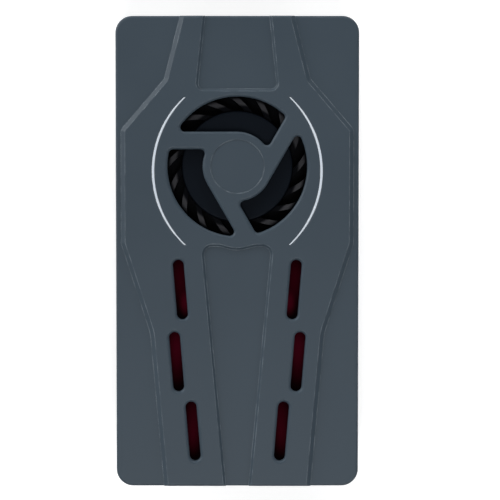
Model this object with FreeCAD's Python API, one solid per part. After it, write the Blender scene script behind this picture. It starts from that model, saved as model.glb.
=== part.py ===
import FreeCAD, Part

# A clip-on cooling fan for a phone, lying on its two clamp jaws with its front up.
# X runs across the body, +Y runs to the edge nearest the fan and +Z runs out of the front.
# The origin is under the middle of the body, on the surface that the jaws stand on.
# All lengths are in millimetres and all angles in degrees.
#
# Air comes in through the swirled opening, the impeller throws it outwards and down over the fins
# of the cooling plate, and it leaves through the side vents. Two sprung arms with hooked jaws grip
# the phone, and a pinion between their racks keeps them in step.

import math
import os
from FreeCAD import Vector

# Body
body_width = 78.0
corner_radius = 5.4
body_depth = 14.0  # from the rear face to the low plates of the front
rear_shell_depth = 8.0  # from the rear face to the joint line
side_wall = 1.8
rear_skin = 1.6
front_skin = 1.8
front_edge_round = 0.85
rear_edge_round = 1.5
joint_groove = 0.3
lip_height = 1.2
lip_rebate = 0.9  # how far in from the outside the rear wall is cut back for the lip
fit_gap = 0.1  # between pieces that are fitted together

# Raised middle of the front, given by widths and by distances from its ends
plateau_rise = 1.0
plateau_bevel = 1.35
plateau_skin = 2.0
plateau_side_strip = 1.7
plateau_top_width = 36.6
plateau_knee_width = 46.8
knee_from_top = 20.1
shoulder_from_top = 36.3
hip_below_fan = 24.7
plateau_waist_width = 56.0
waist_from_bottom = 49.6
plateau_foot_width = 47.2
plateau_corner_round = 2.0
waist_round = 14.0
outline_overrun = 5.0  # how far the plateau's and the channels' outlines pass the body's ends
pocket_inset = 2.2  # from the plateau's outline to the hollow behind it

# Shallow channels at both ends of the plateau
channel_depth = 0.8
channel_wall_run = 0.7
top_channel_mouth = 22.0
top_channel_width = 27.0
top_channel_length = 24.0
top_channel_round = 2.4
tongue_head_width = 23.4
tongue_foot_width = 8.8
tongue_length = 78.25
tongue_round = 3.3
tongue_dip = 1.5
tongue_crest_spacing = 11.2
tongue_wave_round = 9.0

# Fan opening and the disc in its middle
fan_from_top = 48.1
fan_to_tongue = 24.9
opening_radius = 22.4
hub_disc_radius = 11.15
spoke_width = 5.65
opening_corner_round = 1.4
rim_round = 0.9
badge_radius = 8.6
badge_depth = 0.15

# White crescents on both sides of the opening
crescent_reach = 27.35
crescent_width = 0.75
crescent_end_reach = 16.8
crescent_end_width = 0.5
crescent_height = 47.2
crescent_drop = 1.5  # from the fan's centre down to the crescents' middle
crescent_depth = 0.8

# Six slots, three on each side. A slot is placed by the middles of its round ends
slot_width = 3.5
slot_lean = 4.7
slots_below_fan = 31.7
slots_from_bottom = 10.0
upper_slot_reach = 18.95  # from the body's middle to the slot's upper end
middle_slot_reach = 20.2
lower_slot_reach = 14.9
upper_slot_gap = 7.6  # from one slot's lower end to the next slot's upper end
lower_slot_gap = 6.8

# Red light bars behind the slots, with their boards
bar_thickness = 1.7
bar_width = 10.3
bar_top_reach = 13.9  # inner edge at the upper end
bar_lean = 3.1
bar_overlap = 3.1  # how far the bars reach past the slots' outer ends
light_board_width = 4.0
light_board_thickness = 0.8
led_length = 1.6
led_width = 0.8
led_height = 0.5
stake_radius = 0.9

# Cooling plate and pads on the rear
plate_window_width = 31.0
plate_window_length = 45.0
window_round = 2.0
plate_flange_reach = 3.3
plate_flange = 0.8
fin_height = 1.5
fin_thickness = 0.7
fin_pitch = 2.3
pad_thickness = 0.8
pad_margin = 0.5
rear_pad_width = 12.0
rear_pad_length = 8.0
rear_pad_round = 2.5
rear_pad_from_side = 7.0
rear_pad_from_end = 9.0

# Fan
blade_count = 17
blade_lean = 51.0
blade_thickness = 1.6
blade_tip_radius = 24.4
blade_first_angle = 14.4
blade_setback = 0.9  # from the hub's top down to the blades' tops
hub_radius = 18.0
hub_wall = 1.2
hub_edge_round = 0.9
rotor_boss_radius = 2.15
back_ring = 0.6
rotor_ceiling_gap = 1.0
rotor_floor_gap = 0.4
yoke_wall = 0.8
magnet_wall = 2.0
air_gap = 0.4
stator_height = 2.2
stator_bore = 3.3
pole_count = 6
pole_width = 2.4
pole_root_wall = 1.6
pole_shoe = 1.6
pole_gap = 2.2
coil_wall = 0.6
coil_side = 1.0
coil_end_gap = 0.8
shaft_radius = 0.75
shaft_running_gap = 0.03
bearing_wall = 1.25
thrust_washer_thickness = 0.3
clip_rise = 0.45  # from the shaft's foot up to its clip
clip_thickness = 0.25
clip_radius = 1.5
clip_groove = 0.2
frame_base = 1.2
boss_drop = 1.2  # from the frame's underside down to the bearing boss
tube_end = 0.6
frame_ring_wall = 1.2
frame_flange = 1.4
frame_spoke = 4.0
frame_exhaust = 18.0
frame_base_margin = 0.6  # from the motor board's edge to the frame's base
frame_boss_wall = 1.0
frame_ring_gap = 1.0  # from the blade tips to the frame's ring
fin_gap = 0.4
ear_spacing = 43.0
ear_radius = 3.0
ear_web = 4.8
motor_board_thickness = 0.6
motor_board_reach = 12.6
fan_wire_radius = 0.35
wire_groove_width = 2.2

# Screws: case screws hold the shells, small screws hold the rest
case_screw_radius = 0.85
case_screw_head = 1.9
case_screw_head_height = 1.2
case_boss_radius = 2.6
case_screw_from_side = 6.0
case_screw_from_end = 5.9
middle_screw_below_fan = 25.3
counterbore_depth = 2.0
small_screw_radius = 0.6
small_screw_head = 1.35
small_screw_head_height = 0.8
small_post_radius = 2.0
fan_screw_length = 3.4
cover_screw_length = 2.8
board_screw_length = 2.0
plate_screw_length = 1.92
recess_width = 0.45

# Clamp: two arms with hooked jaws, kept in step by a pinion
clamp_below_fan = 41.3  # from the fan's axis down to the pinion
jaw_reach = 11.4  # from the rear face to the jaws' tips
jaw_length = 40.0
jaw_shift = 5.0  # from the pinion up to the middle of both jaws
jaw_thickness = 2.6
jaw_lip = 2.5
jaw_lip_thickness = 2.0
jaw_lip_root = 0.6
jaw_round = 1.5
jaw_corner_round = 3.0
jaw_pad_thickness = 1.0
arm_width = 20.0
arm_thickness = 2.0
arm_floor_gap = 0.1
arm_neck = 14.0  # from the middle to where the arm narrows to its rack
arm_travel = 7.5
rack_spare = 5.5  # from the pinion to the rack's end while the clamp is open
gear_module = 1.0
pinion_teeth = 12
pressure_angle = 20.0
rack_addendum = 0.7
pinion_addendum = 0.9
root_clearance = 0.15
gear_backlash = 0.24
pinion_pin_radius = 1.0
pinion_play = 0.05
pin_play = 0.02
cover_thickness = 1.0
cover_width = 60.0
cover_post_spacing = 32.0
cover_post_margin = 2.8  # from the arm's edge to the post's centre
cover_margin = 1.6  # from the posts' centres to the cover's edge
spring_radius = 1.0
spring_wire = 0.2
spring_turns = 9
spring_seat = 8.0
spring_seat_width = 1.2

# Battery, main board and what is on it
battery_width = 44.0
battery_height = 5.4
battery_margin = 2.0  # from the board and from the clamp's cover to the battery
battery_seam = 0.6
seam_margin = 2.0
battery_round = 1.35
tape_margin = 3.0
battery_rib = 0.8
battery_rib_height = 1.6
tape_thickness = 0.3
board_from_side = 10.0
board_length = 14.5
board_thickness = 0.8
board_from_bottom = 2.4
board_standoff = 0.6
board_screw_margin = 3.0
socket_width = 4.2
socket_length = 3.0
socket_height = 2.6
socket_margin = 0.7  # from the board's upper edge to the row of sockets
battery_socket_x = 7.0
light_socket_from_edge = 5.9  # from the board's upper edge to the middle of each light socket
chip_from_edge = 4.6  # from the board's long edges to the rows of chips
coil_reach = 10.5  # from the board's middle to the coil and the charger
driver_reach = 8.0  # from the board's middle to the driver, on the other side
boost_coil_size = 5.0
boost_coil_height = 2.2
boost_coil_round = 1.2
charger_size = 3.6
charger_height = 0.9
driver_size = 4.4
driver_height = 1.5
capacitor_count = 4
capacitor_margin = 2.7  # from the right screw to the nearest capacitor
capacitor_pitch = 1.8
capacitor_width = 0.9
capacitor_length = 1.6
capacitor_height = 0.8
lead_radius = 0.4
lead_spacing = 1.2
usb_width = 8.94
usb_height = 3.26
usb_depth = 7.35
usb_wall = 0.3
usb_inset = 0.3
usb_hole_gap = 0.2
tongue_board_thickness = 0.7
button_width = 8.0
button_height = 3.0
button_from_bottom = 13.9
button_travel = 0.5
button_gap = 0.15
button_flange = 0.7
switch_depth = 3.6
switch_width = 4.0
switch_height = 3.2
switch_from_side = 9.2
plunger_radius = 0.75
plunger_seat = 1.0  # how deep the plunger stands in the switch at rest
plunger_spare = 0.2  # what still stands out once the button is pressed
button_lip = 1.0  # how far the flange reaches past the cap at both ends
button_stem = 3.0

# Side vents
vent_count = 8
vent_width = 1.8
vent_height = 3.8
vent_pitch = 3.8
vent_sill = 0.6

# Heights and places that follow from the sizes above
body_length = fan_from_top + fan_to_tongue + tongue_length
z_rear = jaw_reach
z_floor = z_rear + rear_skin
z_joint = z_rear + rear_shell_depth
z_plate = z_rear + body_depth
z_face = z_plate + plateau_rise
z_low_ceiling = z_plate - front_skin
z_ceiling = z_face - plateau_skin
z_channel = z_face - channel_depth
half_width = body_width / 2
half_length = body_length / 2
y_top = half_length
y_bottom = -half_length
y_fan = y_top - fan_from_top

z_fins = z_floor + plate_flange + fin_height
z_frame = z_fins + fin_gap
z_frame_top = z_frame + frame_base
z_rotor = z_frame_top + rotor_floor_gap
z_hub_top = z_ceiling - rotor_ceiling_gap
z_yoke_top = z_hub_top - hub_wall
yoke_radius = hub_radius - hub_wall - fit_gap / 2
magnet_radius = yoke_radius - yoke_wall - fit_gap / 2
stator_radius = magnet_radius - magnet_wall - air_gap
z_motor_board_top = z_frame_top + motor_board_thickness
z_stator = z_motor_board_top + coil_wall + fit_gap
z_stator_top = z_stator + stator_height
bearing_radius = shaft_radius + shaft_running_gap + bearing_wall
tube_radius = stator_bore - fit_gap / 2
z_tube_top = z_stator_top + coil_wall / 2
z_tube_floor = z_frame - boss_drop + tube_end
z_shaft_foot = z_tube_floor + thrust_washer_thickness + fit_gap / 2

y_clamp = y_fan - clamp_below_fan
z_arm = z_floor + arm_floor_gap
z_arm_top = z_arm + arm_thickness
z_cover = z_arm_top + arm_floor_gap
pitch_radius = gear_module * pinion_teeth / 2
arm_inner_end = arm_travel + rack_spare
tooth_pitch = math.pi * gear_module

z_tape = z_floor
board_width = body_width - 2 * board_from_side
y_board = y_bottom + board_from_bottom
y_battery = y_board + board_length + battery_margin
y_clamp_foot = y_clamp - arm_width / 2 - cover_post_margin - small_post_radius
battery_length = y_clamp_foot - battery_margin / 2 - y_battery
z_battery = z_tape + tape_thickness
z_board = z_floor + board_standoff
z_board_top = z_board + board_thickness
z_usb = z_board_top + usb_height / 2
z_button = z_board_top + switch_height / 2
y_button = y_bottom + button_from_bottom
y_socket_row = y_board + board_length - socket_margin - socket_length / 2
y_light_socket = y_board + board_length - light_socket_from_edge
x_switch = half_width - switch_from_side

z_bar = z_ceiling - bar_thickness
z_led = z_bar - fit_gap - led_height
z_light_board = z_led - light_board_thickness

small_pilot_radius = small_screw_radius + fit_gap / 2
small_hole_radius = small_screw_radius + fit_gap
plate_pilot_depth = rear_skin * 0.75

above = 1.0  # how far a cutting shape runs past the face that it cuts
up = Vector(0, 0, 1)


def box(x0, x1, y0, y1, z0, z1):
    return Part.makeBox(x1 - x0, y1 - y0, z1 - z0, Vector(x0, y0, z0))


def block(x, y, width, length, z0, z1):
    """A box about (x, y)."""
    return box(x - width / 2, x + width / 2, y - length / 2, y + length / 2, z0, z1)


def cylinder(radius, x, y, z0, z1):
    return Part.makeCylinder(radius, z1 - z0, Vector(x, y, z0))


def ring(outer, inner, x, y, z0, z1):
    return cylinder(outer, x, y, z0, z1).cut(cylinder(inner, x, y, z0 - above, z1 + above))


def raised(wire, height):
    """The solid that a flat closed wire makes when it is pulled up by height."""
    return Part.Face(wire).extrude(Vector(0, 0, height))


def turned(shape, angle, x=0.0, y=0.0):
    copy = shape.copy()
    copy.rotate(Vector(x, y, 0), up, angle)
    return copy


def mirrored(shape):
    """The same shape on the other side of the body's middle."""
    return shape.mirror(Vector(0, 0, 0), Vector(1, 0, 0))


def fused(shapes):
    return shapes[0].multiFuse(shapes[1:]).removeSplitter() if len(shapes) > 1 else shapes[0]


def rounded_polygon(corners, z):
    """A closed wire through corners given as (x, y, radius), with an arc at each rounded corner."""
    edges = []
    last = None
    first = None
    count = len(corners)
    for i, (x, y, radius) in enumerate(corners):
        here = Vector(x, y, z)
        before = Vector(*corners[i - 1][:2], z) - here
        after = Vector(*corners[(i + 1) % count][:2], z) - here
        before.normalize()
        after.normalize()
        half_turn = before.getAngle(after) / 2
        if radius > 0:
            middle = before + after
            middle.normalize()
            start = here + before * (radius / math.tan(half_turn))
            end = here + after * (radius / math.tan(half_turn))
            inmost = here + middle * (radius / math.sin(half_turn) - radius)
        else:
            start = end = here
        if last is None:
            first = start
        else:
            edges.append(Part.LineSegment(last, start).toShape())
        if radius > 0:
            edges.append(Part.Arc(start, inmost, end).toShape())
        last = end
    edges.append(Part.LineSegment(last, first).toShape())
    return Part.Wire(edges)


def inset_corners(corners, inset):
    """The corners of the same outline moved inwards; the corners run anticlockwise."""
    moved = []
    count = len(corners)
    for i, (x, y, radius) in enumerate(corners):
        here = Vector(x, y, 0)
        into = here - Vector(*corners[i - 1][:2], 0)
        out = Vector(*corners[(i + 1) % count][:2], 0) - here
        into.normalize()
        out.normalize()
        normal_in = Vector(-into.y, into.x, 0)
        normal_out = Vector(-out.y, out.x, 0)
        share = inset / (1 + normal_in.dot(normal_out))
        corner = here + (normal_in + normal_out) * share
        left_turn = into.cross(out).z > 0
        new_radius = radius - inset if left_turn else radius + inset
        moved.append((corner.x, corner.y, max(new_radius, 0.2) if radius > 0 else 0))
    return moved


def tapered(corners, z0, z1, inset0, inset1):
    """A solid whose outline is inset by inset0 at z0 and by inset1 at z1."""
    low = rounded_polygon(inset_corners(corners, inset0), z0)
    high = rounded_polygon(inset_corners(corners, inset1), z1)
    return Part.makeLoft([low, high], True, True)


def rectangle(width, length, radius, y=0.0):
    """Corners of a rounded rectangle about (0, y), anticlockwise."""
    x = width / 2
    return [
        (-x, y - length / 2, radius),
        (x, y - length / 2, radius),
        (x, y + length / 2, radius),
        (-x, y + length / 2, radius),
    ]


def slab(inset, z0, z1):
    """The body's outline, moved in by inset, between two heights."""
    size = rectangle(body_width - 2 * inset, body_length - 2 * inset, corner_radius - inset)
    return raised(rounded_polygon(size, z0), z1 - z0)


def edges_at(shape, z):
    """The edges of a shape that lie flat at height z."""
    flat = []
    for edge in shape.Edges:
        bounds = edge.BoundBox
        if abs(bounds.ZMin - z) < 1e-4 and abs(bounds.ZMax - z) < 1e-4:
            flat.append(edge)
    return flat


def upright_edges(shape, radius, x, y):
    """The upright edges of a shape at a distance from an upright axis."""
    found = []
    for edge in shape.Edges:
        bounds = edge.BoundBox
        away = math.hypot((bounds.XMin + bounds.XMax) / 2 - x, (bounds.YMin + bounds.YMax) / 2 - y)
        if bounds.XLength < 1e-4 and bounds.YLength < 1e-4 and abs(away - radius) < 1e-3:
            found.append(edge)
    return found


def envelope(z_top):
    """The body's outline up to z_top, with its front edge rounded."""
    solid = slab(0, z_joint, z_top)
    return solid.makeFillet(front_edge_round, edges_at(solid, z_top))


def stadium(ends, width, z0, z1):
    """An upright prism round two end points, as wide as a slot."""
    (x0, y0), (x1, y1) = ends
    along = Vector(x1 - x0, y1 - y0, 0)
    along.normalize()
    across = Vector(-along.y, along.x, 0) * (width / 2)
    start = Vector(x0, y0, z0)
    end = Vector(x1, y1, z0)
    reach = along * (width / 2)
    wire = Part.Wire(
        [
            Part.LineSegment(start + across, end + across).toShape(),
            Part.Arc(end + across, end + reach, end - across).toShape(),
            Part.LineSegment(end - across, start - across).toShape(),
            Part.Arc(start - across, start - reach, start + across).toShape(),
        ]
    )
    return raised(wire, z1 - z0)


def screw(z_seat, pointing, length, radius, head, head_height):
    """A screw with a round head and a crossed recess; pointing is +1 for a tip that points up."""
    shank = cylinder(radius, 0, 0, 0, length - radius)
    tip = Part.makeCone(radius, radius * 0.3, radius, Vector(0, 0, length - radius))
    cap = cylinder(head, 0, 0, -head_height, 0)
    cap = cap.makeFillet(head_height * 0.4, edges_at(cap, -head_height))
    z_out = -head_height - above
    reach = 1.2 * head
    across = block(0, 0, reach, recess_width, z_out, 0)
    along = block(0, 0, recess_width, reach, z_out, 0)
    cross = across.fuse(along).common(cylinder(head, 0, 0, z_out, -head_height * 0.35))
    solid = fused([shank, tip, cap]).cut(cross)
    if pointing < 0:
        solid.rotate(Vector(0, 0, 0), Vector(1, 0, 0), 180)
    solid.translate(Vector(0, 0, z_seat))
    return solid


def copies(shape, places):
    """The same shape at several places."""
    moved = []
    for x, y in places:
        copy = shape.copy()
        copy.translate(Vector(x, y, 0))
        moved.append(copy)
    return Part.makeCompound(moved)


def wires(points, spacing, radius):
    """Two round wires side by side along X, that follow the same path in a plane of steady X."""
    path = lead_path(points)
    pair = []
    for side in (-0.5, 0.5):
        line = path.copy()
        line.translate(Vector(side * spacing, 0, 0))
        start = line.OrderedVertexes[0].Point
        along = line.OrderedEdges[0].tangentAt(line.OrderedEdges[0].FirstParameter)
        profile = Part.Wire(Part.Circle(start, along, radius).toShape())
        pair.append(line.makePipeShell([profile], True, False))
    return pair


def lead_path(points):
    """Straight runs joined by tangent arcs, each as large as its two runs allow."""
    spots = [Vector(*p) for p in points]
    edges = []
    last = spots[0]
    for before, here, after in zip(spots, spots[1:], spots[2:]):
        back = before - here
        ahead = after - here
        cut = 0.45 * min(back.Length, ahead.Length)
        back.normalize()
        ahead.normalize()
        half_turn = back.getAngle(ahead) / 2
        radius = cut * math.tan(half_turn)
        middle = back + ahead
        middle.normalize()
        start = here + back * cut
        end = here + ahead * cut
        edges.append(Part.LineSegment(last, start).toShape())
        inmost = here + middle * (radius / math.sin(half_turn) - radius)
        edges.append(Part.Arc(start, inmost, end).toShape())
        last = end
    edges.append(Part.LineSegment(last, spots[-1]).toShape())
    return Part.Wire(edges)


# Front shell


def plateau_corners():
    """Outline of the raised middle, which runs past both ends of the body."""
    past = outline_overrun
    top_slope = (plateau_knee_width - plateau_top_width) / 2 / knee_from_top
    foot_slope = (plateau_waist_width - plateau_foot_width) / 2 / waist_from_bottom
    shoulder = half_width - plateau_side_strip
    right = [
        (plateau_foot_width / 2 - past * foot_slope, y_bottom - past, 0),
        (plateau_waist_width / 2, y_bottom + waist_from_bottom, waist_round),
        (shoulder, y_fan - hip_below_fan, plateau_corner_round),
        (shoulder, y_top - shoulder_from_top, plateau_corner_round),
        (plateau_knee_width / 2, y_top - knee_from_top, plateau_corner_round),
        (plateau_top_width / 2 - past * top_slope, y_top + past, 0),
    ]
    left = [(-x, y, radius) for x, y, radius in reversed(right)]
    return right + left


def top_channel_corners():
    past = outline_overrun
    slope = (top_channel_width - top_channel_mouth) / 2 / top_channel_length
    mouth = top_channel_mouth / 2 - past * slope
    foot = top_channel_width / 2
    y_foot = y_top - top_channel_length
    return [
        (-foot, y_foot, top_channel_round),
        (foot, y_foot, top_channel_round),
        (mouth, y_top + past, 0),
        (-mouth, y_top + past, 0),
    ]


def tongue_corners():
    """The long channel below the fan: a waved head that tapers to the bottom edge."""
    past = outline_overrun
    slope = (tongue_head_width - tongue_foot_width) / 2 / tongue_length
    foot = tongue_foot_width / 2 - past * slope
    head = tongue_head_width / 2
    y_head = y_bottom + tongue_length
    crest = tongue_crest_spacing / 2
    return [
        (-foot, y_bottom - past, 0),
        (foot, y_bottom - past, 0),
        (head, y_head, tongue_round),
        (crest, y_head, tongue_wave_round),
        (0, y_head - tongue_dip, tongue_wave_round),
        (-crest, y_head, tongue_wave_round),
        (-head, y_head, tongue_round),
    ]


def with_channel(body, corners):
    """Sinks a channel with sloped walls, and rounds the edge where it runs out of the body's end."""
    run_past = channel_wall_run * above / channel_depth
    cutter = tapered(corners, z_channel, z_face + above, channel_wall_run, -run_past)
    floor = inset_corners(corners, channel_wall_run)
    well = raised(rounded_polygon(floor, z_channel - above), above)
    bed = well.common(envelope(z_channel))
    return body.cut(cutter.fuse(well)).fuse(bed)


def fan_opening():
    """The first of three openings between the spokes, upright and about the fan's own centre."""
    spoke_inner = hub_disc_radius - spoke_width
    tip_x = -math.sqrt(opening_radius**2 - hub_disc_radius**2)
    along = Vector(math.cos(math.radians(60)), math.sin(math.radians(60)), 0)
    across = Vector(along.y, -along.x, 0) * spoke_inner
    near = across + along * math.sqrt(hub_disc_radius**2 - spoke_inner**2)
    far = across + along * math.sqrt(opening_radius**2 - spoke_inner**2)
    tip = Vector(tip_x, hub_disc_radius, 0)
    touch = Vector(0, hub_disc_radius, 0)
    halfway = Vector(math.sin(math.radians(15)), math.cos(math.radians(15)), 0) * hub_disc_radius
    crown = Vector(0, opening_radius, 0)
    wire = Part.Wire(
        [
            Part.LineSegment(tip, touch).toShape(),
            Part.Arc(touch, halfway, near).toShape(),
            Part.LineSegment(near, far).toShape(),
            Part.Arc(far, crown, tip).toShape(),
        ]
    )
    solid = raised(wire, z_face + above - z_joint)
    corners = []
    for radius in (opening_radius, hub_disc_radius):
        corners += upright_edges(solid, radius, 0, 0)
    smooth = upright_edges(solid, 0, touch.x, touch.y)
    corners = [e for e in corners if not any(e.isSame(s) for s in smooth)]
    solid = solid.makeFillet(opening_corner_round, corners)
    solid.translate(Vector(0, y_fan, z_joint))
    return solid


def slot_ends():
    """Both ends of the three slots on the right, which share the length left between the gaps."""
    y_first = y_fan - slots_below_fan
    y_last = y_bottom + slots_from_bottom
    height = (y_first - y_last - upper_slot_gap - lower_slot_gap) / 3
    drift = height * math.tan(math.radians(slot_lean))
    y_middle = y_first - height - upper_slot_gap
    y_lower = y_middle - height - lower_slot_gap
    reaches = ((upper_slot_reach, y_first), (middle_slot_reach, y_middle), (lower_slot_reach, y_lower))
    return [((x, y), (x - drift, y - height)) for x, y in reaches]


def crescent(clearance, z0, z1):
    """The right crescent, thick in its middle and thin at its ends."""
    y = y_fan - crescent_drop
    reach = crescent_height / 2 + clearance
    outer = crescent_reach + clearance
    inner = crescent_reach - crescent_width - clearance
    half_end = crescent_end_width / 2 + 2.5 * clearance  # more, because the ends lean
    top = Vector(crescent_end_reach, y + reach, z0)
    foot = Vector(crescent_end_reach, y - reach, z0)
    side = Vector(half_end, 0, 0)
    wire = Part.Wire(
        [
            Part.Arc(top + side, Vector(outer, y, z0), foot + side).toShape(),
            Part.LineSegment(foot + side, foot - side).toShape(),
            Part.Arc(foot - side, Vector(inner, y, z0), top - side).toShape(),
            Part.LineSegment(top - side, top + side).toShape(),
        ]
    )
    return raised(wire, z1 - z0)


def case_screw_places():
    x = half_width - case_screw_from_side
    y = half_length - case_screw_from_end
    middle = y_fan - middle_screw_below_fan
    return [(side * x, place) for side in (-1, 1) for place in (-y, middle, y)]


def front_block():
    """The front cover before it is hollowed: low plates, bevelled plateau and channels."""
    base = slab(0, z_joint, z_plate)
    base = base.makeFillet(front_edge_round, edges_at(base, z_plate))
    base = base.makeChamfer(joint_groove, edges_at(base, z_joint))
    corners = plateau_corners()
    foot = raised(rounded_polygon(corners, z_plate - above), above)
    rise = tapered(corners, z_plate, z_face, 0, plateau_bevel)
    plateau = foot.fuse(rise).common(envelope(z_face))
    body = base.fuse(plateau)
    body = with_channel(body, top_channel_corners())
    body = with_channel(body, tongue_corners())
    return body.removeSplitter()


def front_hollow():
    """The space inside the front cover: the wide hollow and the pocket behind the plateau."""
    wide = slab(side_wall, z_joint - above, z_low_ceiling)
    outline = inset_corners(plateau_corners(), pocket_inset)
    pocket = raised(rounded_polygon(outline, z_joint), z_ceiling - z_joint)
    return wide.fuse(pocket.common(slab(side_wall, z_joint, z_ceiling)))


def front_lip():
    """The lip that drops inside the rear shell's wall."""
    outer = slab(lip_rebate + fit_gap, z_joint - lip_height, z_joint + above)
    inner = slab(side_wall, z_joint - lip_height - above, z_joint + above + above)
    return outer.cut(inner)


def front_shell():
    shell = front_block().cut(front_hollow()).fuse(front_lip())
    openings = [turned(fan_opening(), turn, 0, y_fan) for turn in (0, 120, 240)]
    slots = []
    for ends in slot_ends():
        slot = stadium(ends, slot_width, z_joint, z_face + above)
        slots += [slot, mirrored(slot)]
    shell = shell.cut(Part.makeCompound(openings + slots))
    rims = [e for e in edges_at(shell, z_face) if rim_edge(e)]
    shell = shell.makeFillet(rim_round, rims)
    grooves = [cylinder(badge_radius, 0, y_fan, z_face - badge_depth, z_face + above)]
    inlay = crescent(fit_gap / 2, z_face - crescent_depth, z_face + above)
    grooves += [inlay, mirrored(inlay)]
    shell = shell.cut(Part.makeCompound(grooves))
    added = []
    pilots = []
    for x, y in case_screw_places():
        added.append(cylinder(case_boss_radius, x, y, z_joint, z_ceiling + above / 2))
        pilots.append(cylinder(case_screw_radius + fit_gap / 2, x, y, z_joint - above, z_low_ceiling))
    for x, y in stake_places():
        added.append(cylinder(stake_radius, x, y, z_light_board - stake_radius / 2, z_ceiling + above / 2))
    return shell.fuse(added).cut(Part.makeCompound(pilots)).removeSplitter()


def rim_edge(edge):
    """True for an edge of a fan opening or a slot in the plateau's face."""
    middle = edge.BoundBox.Center
    if math.hypot(middle.x, middle.y - y_fan) < opening_radius + 0.1:
        return True
    for (x0, y0), (x1, y1) in slot_ends():
        near_x = min(x0, x1) - slot_width < abs(middle.x) < max(x0, x1) + slot_width
        near_y = y1 - slot_width < middle.y < y0 + slot_width
        if near_x and near_y:
            return True
    return False


def crescents():
    right = crescent(0, z_face - crescent_depth, z_face)
    return {"crescent_left": mirrored(right), "crescent_right": right}


# Red light behind the slots


def bar_middle(y):
    """X of the right light bar's middle at a given Y; the bar leans like the slots do."""
    y_upper = y_fan - slots_below_fan + bar_overlap
    return bar_top_reach + bar_width / 2 - (y_upper - y) * math.tan(math.radians(bar_lean))


def strip(width, from_upper, from_lower, z0, z1):
    """A leaning strip along the right light bar, short of its ends by the given distances."""
    y_upper = y_fan - slots_below_fan + bar_overlap - from_upper
    y_lower = y_bottom + slots_from_bottom - bar_overlap + from_lower
    corners = []
    for y, side in ((y_lower, -1), (y_lower, 1), (y_upper, 1), (y_upper, -1)):
        corners.append((bar_middle(y) + side * width / 2, y, width * 0.2))
    return raised(rounded_polygon(corners, z0), z1 - z0)


def stake_places():
    """One stake between each slot and the next."""
    ends = slot_ends()
    places = []
    for above_it, below_it in zip(ends, ends[1:]):
        y = (above_it[1][1] + below_it[0][1]) / 2
        places += [(bar_middle(y), y), (-bar_middle(y), y)]
    return places


def light_bars():
    bar = strip(bar_width, 0, 0, z_bar, z_ceiling)
    board = strip(light_board_width, 1.5, 1.0, z_light_board, z_led)
    holes = []
    for x, y in stake_places():
        holes.append(cylinder(stake_radius + fit_gap, x, y, z_light_board - above, z_ceiling + above))
    holes = Part.makeCompound(holes)
    leds = []
    for (x0, y0), (x1, y1) in slot_ends():
        for share in (0.15, 0.85):
            y = y0 + (y1 - y0) * share
            leds.append(block(bar_middle(y), y, led_width, led_length, z_led, z_led + led_height))
    leds = Part.makeCompound(leds)
    bar = bar.cut(holes)
    board = board.cut(holes)
    return {
        "light_bar_left": mirrored(bar),
        "light_bar_right": bar,
        "light_board_left": mirrored(board),
        "light_board_right": board,
        "light_leds_left": mirrored(leds),
        "light_leds_right": leds,
    }


# Rear shell and what is fixed to its outside


def ear_places():
    reach = ear_spacing / 2
    return [(x * reach, y_fan + y * reach) for x in (-1, 1) for y in (-1, 1)]


def cover_post_places():
    reach = arm_width / 2 + cover_post_margin
    return [(x * cover_post_spacing / 2, y_clamp + y * reach) for x in (-1, 1) for y in (-1, 1)]


def plate_screw_places():
    x = plate_window_width / 2 + plate_flange_reach / 2
    y = plate_window_length / 2 + plate_flange_reach / 2
    return [(side * x, y_fan + end * y) for side in (-1, 1) for end in (-1, 1)]


def board_screw_places():
    left = -board_width / 2 + board_screw_margin
    right = board_width / 2 - 2 * board_screw_margin
    return [(left, y_board + board_screw_margin), (right, y_board + board_screw_margin)]


def jaw_notches():
    """Room for the jaws in both side walls, up to the arms' tops."""
    reach = jaw_length / 2 + fit_gap
    y = y_clamp + jaw_shift
    deep = half_width - jaw_thickness - 3 * fit_gap
    notch = box(deep, half_width + above, y - reach, y + reach, z_rear - above, z_arm_top + 2 * fit_gap)
    return [notch, mirrored(notch)]


def side_vents():
    """A row of upright vents in each side wall beside the fan."""
    z0 = z_floor + vent_sill
    deep = half_width - side_wall - above
    vents = []
    for i in range(vent_count):
        y = y_fan + (i - (vent_count - 1) / 2) * vent_pitch
        vent = box(deep, half_width + above, y - vent_width / 2, y + vent_width / 2, z0, z0 + vent_height)
        vents += [vent, mirrored(vent)]
    return vents


def usb_outline(gap, y0, y1):
    """The flat-oval prism of the USB socket, along Y."""
    radius = usb_height / 2 + gap
    x = usb_width / 2 - usb_height / 2
    middle = box(-x, x, y0, y1, z_usb - radius, z_usb + radius)
    left = Part.makeCylinder(radius, y1 - y0, Vector(-x, y0, z_usb), Vector(0, 1, 0))
    right = Part.makeCylinder(radius, y1 - y0, Vector(x, y0, z_usb), Vector(0, 1, 0))
    return fused([middle, left, right])


def button_prism(gap, x0, x1):
    """The button's rounded outline, along X, with its corners rounded."""
    y = button_width / 2 + gap
    z = button_height / 2 + gap
    block = box(x0, x1, y_button - y, y_button + y, z_button - z, z_button + z)
    along = [e for e in block.Edges if e.BoundBox.XLength > (x1 - x0) * 0.9]
    return block.makeFillet(button_height * 0.45, along)


def battery_ribs():
    """Low ribs round the battery."""
    y = y_battery + battery_length / 2
    width = battery_width + 4 * fit_gap
    length = battery_length + 4 * fit_gap
    sunk = above / 2
    z_top = z_floor + battery_rib_height
    wall = block(0, y, width + 2 * battery_rib, length + 2 * battery_rib, z_floor - sunk, z_top)
    room = block(0, y, width, length, z_floor - above, z_top + above)
    gaps = block(0, y, battery_width / 2, length + 4 * battery_rib, z_floor - above, z_top + above)
    return wall.cut(room).cut(gaps)


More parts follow.
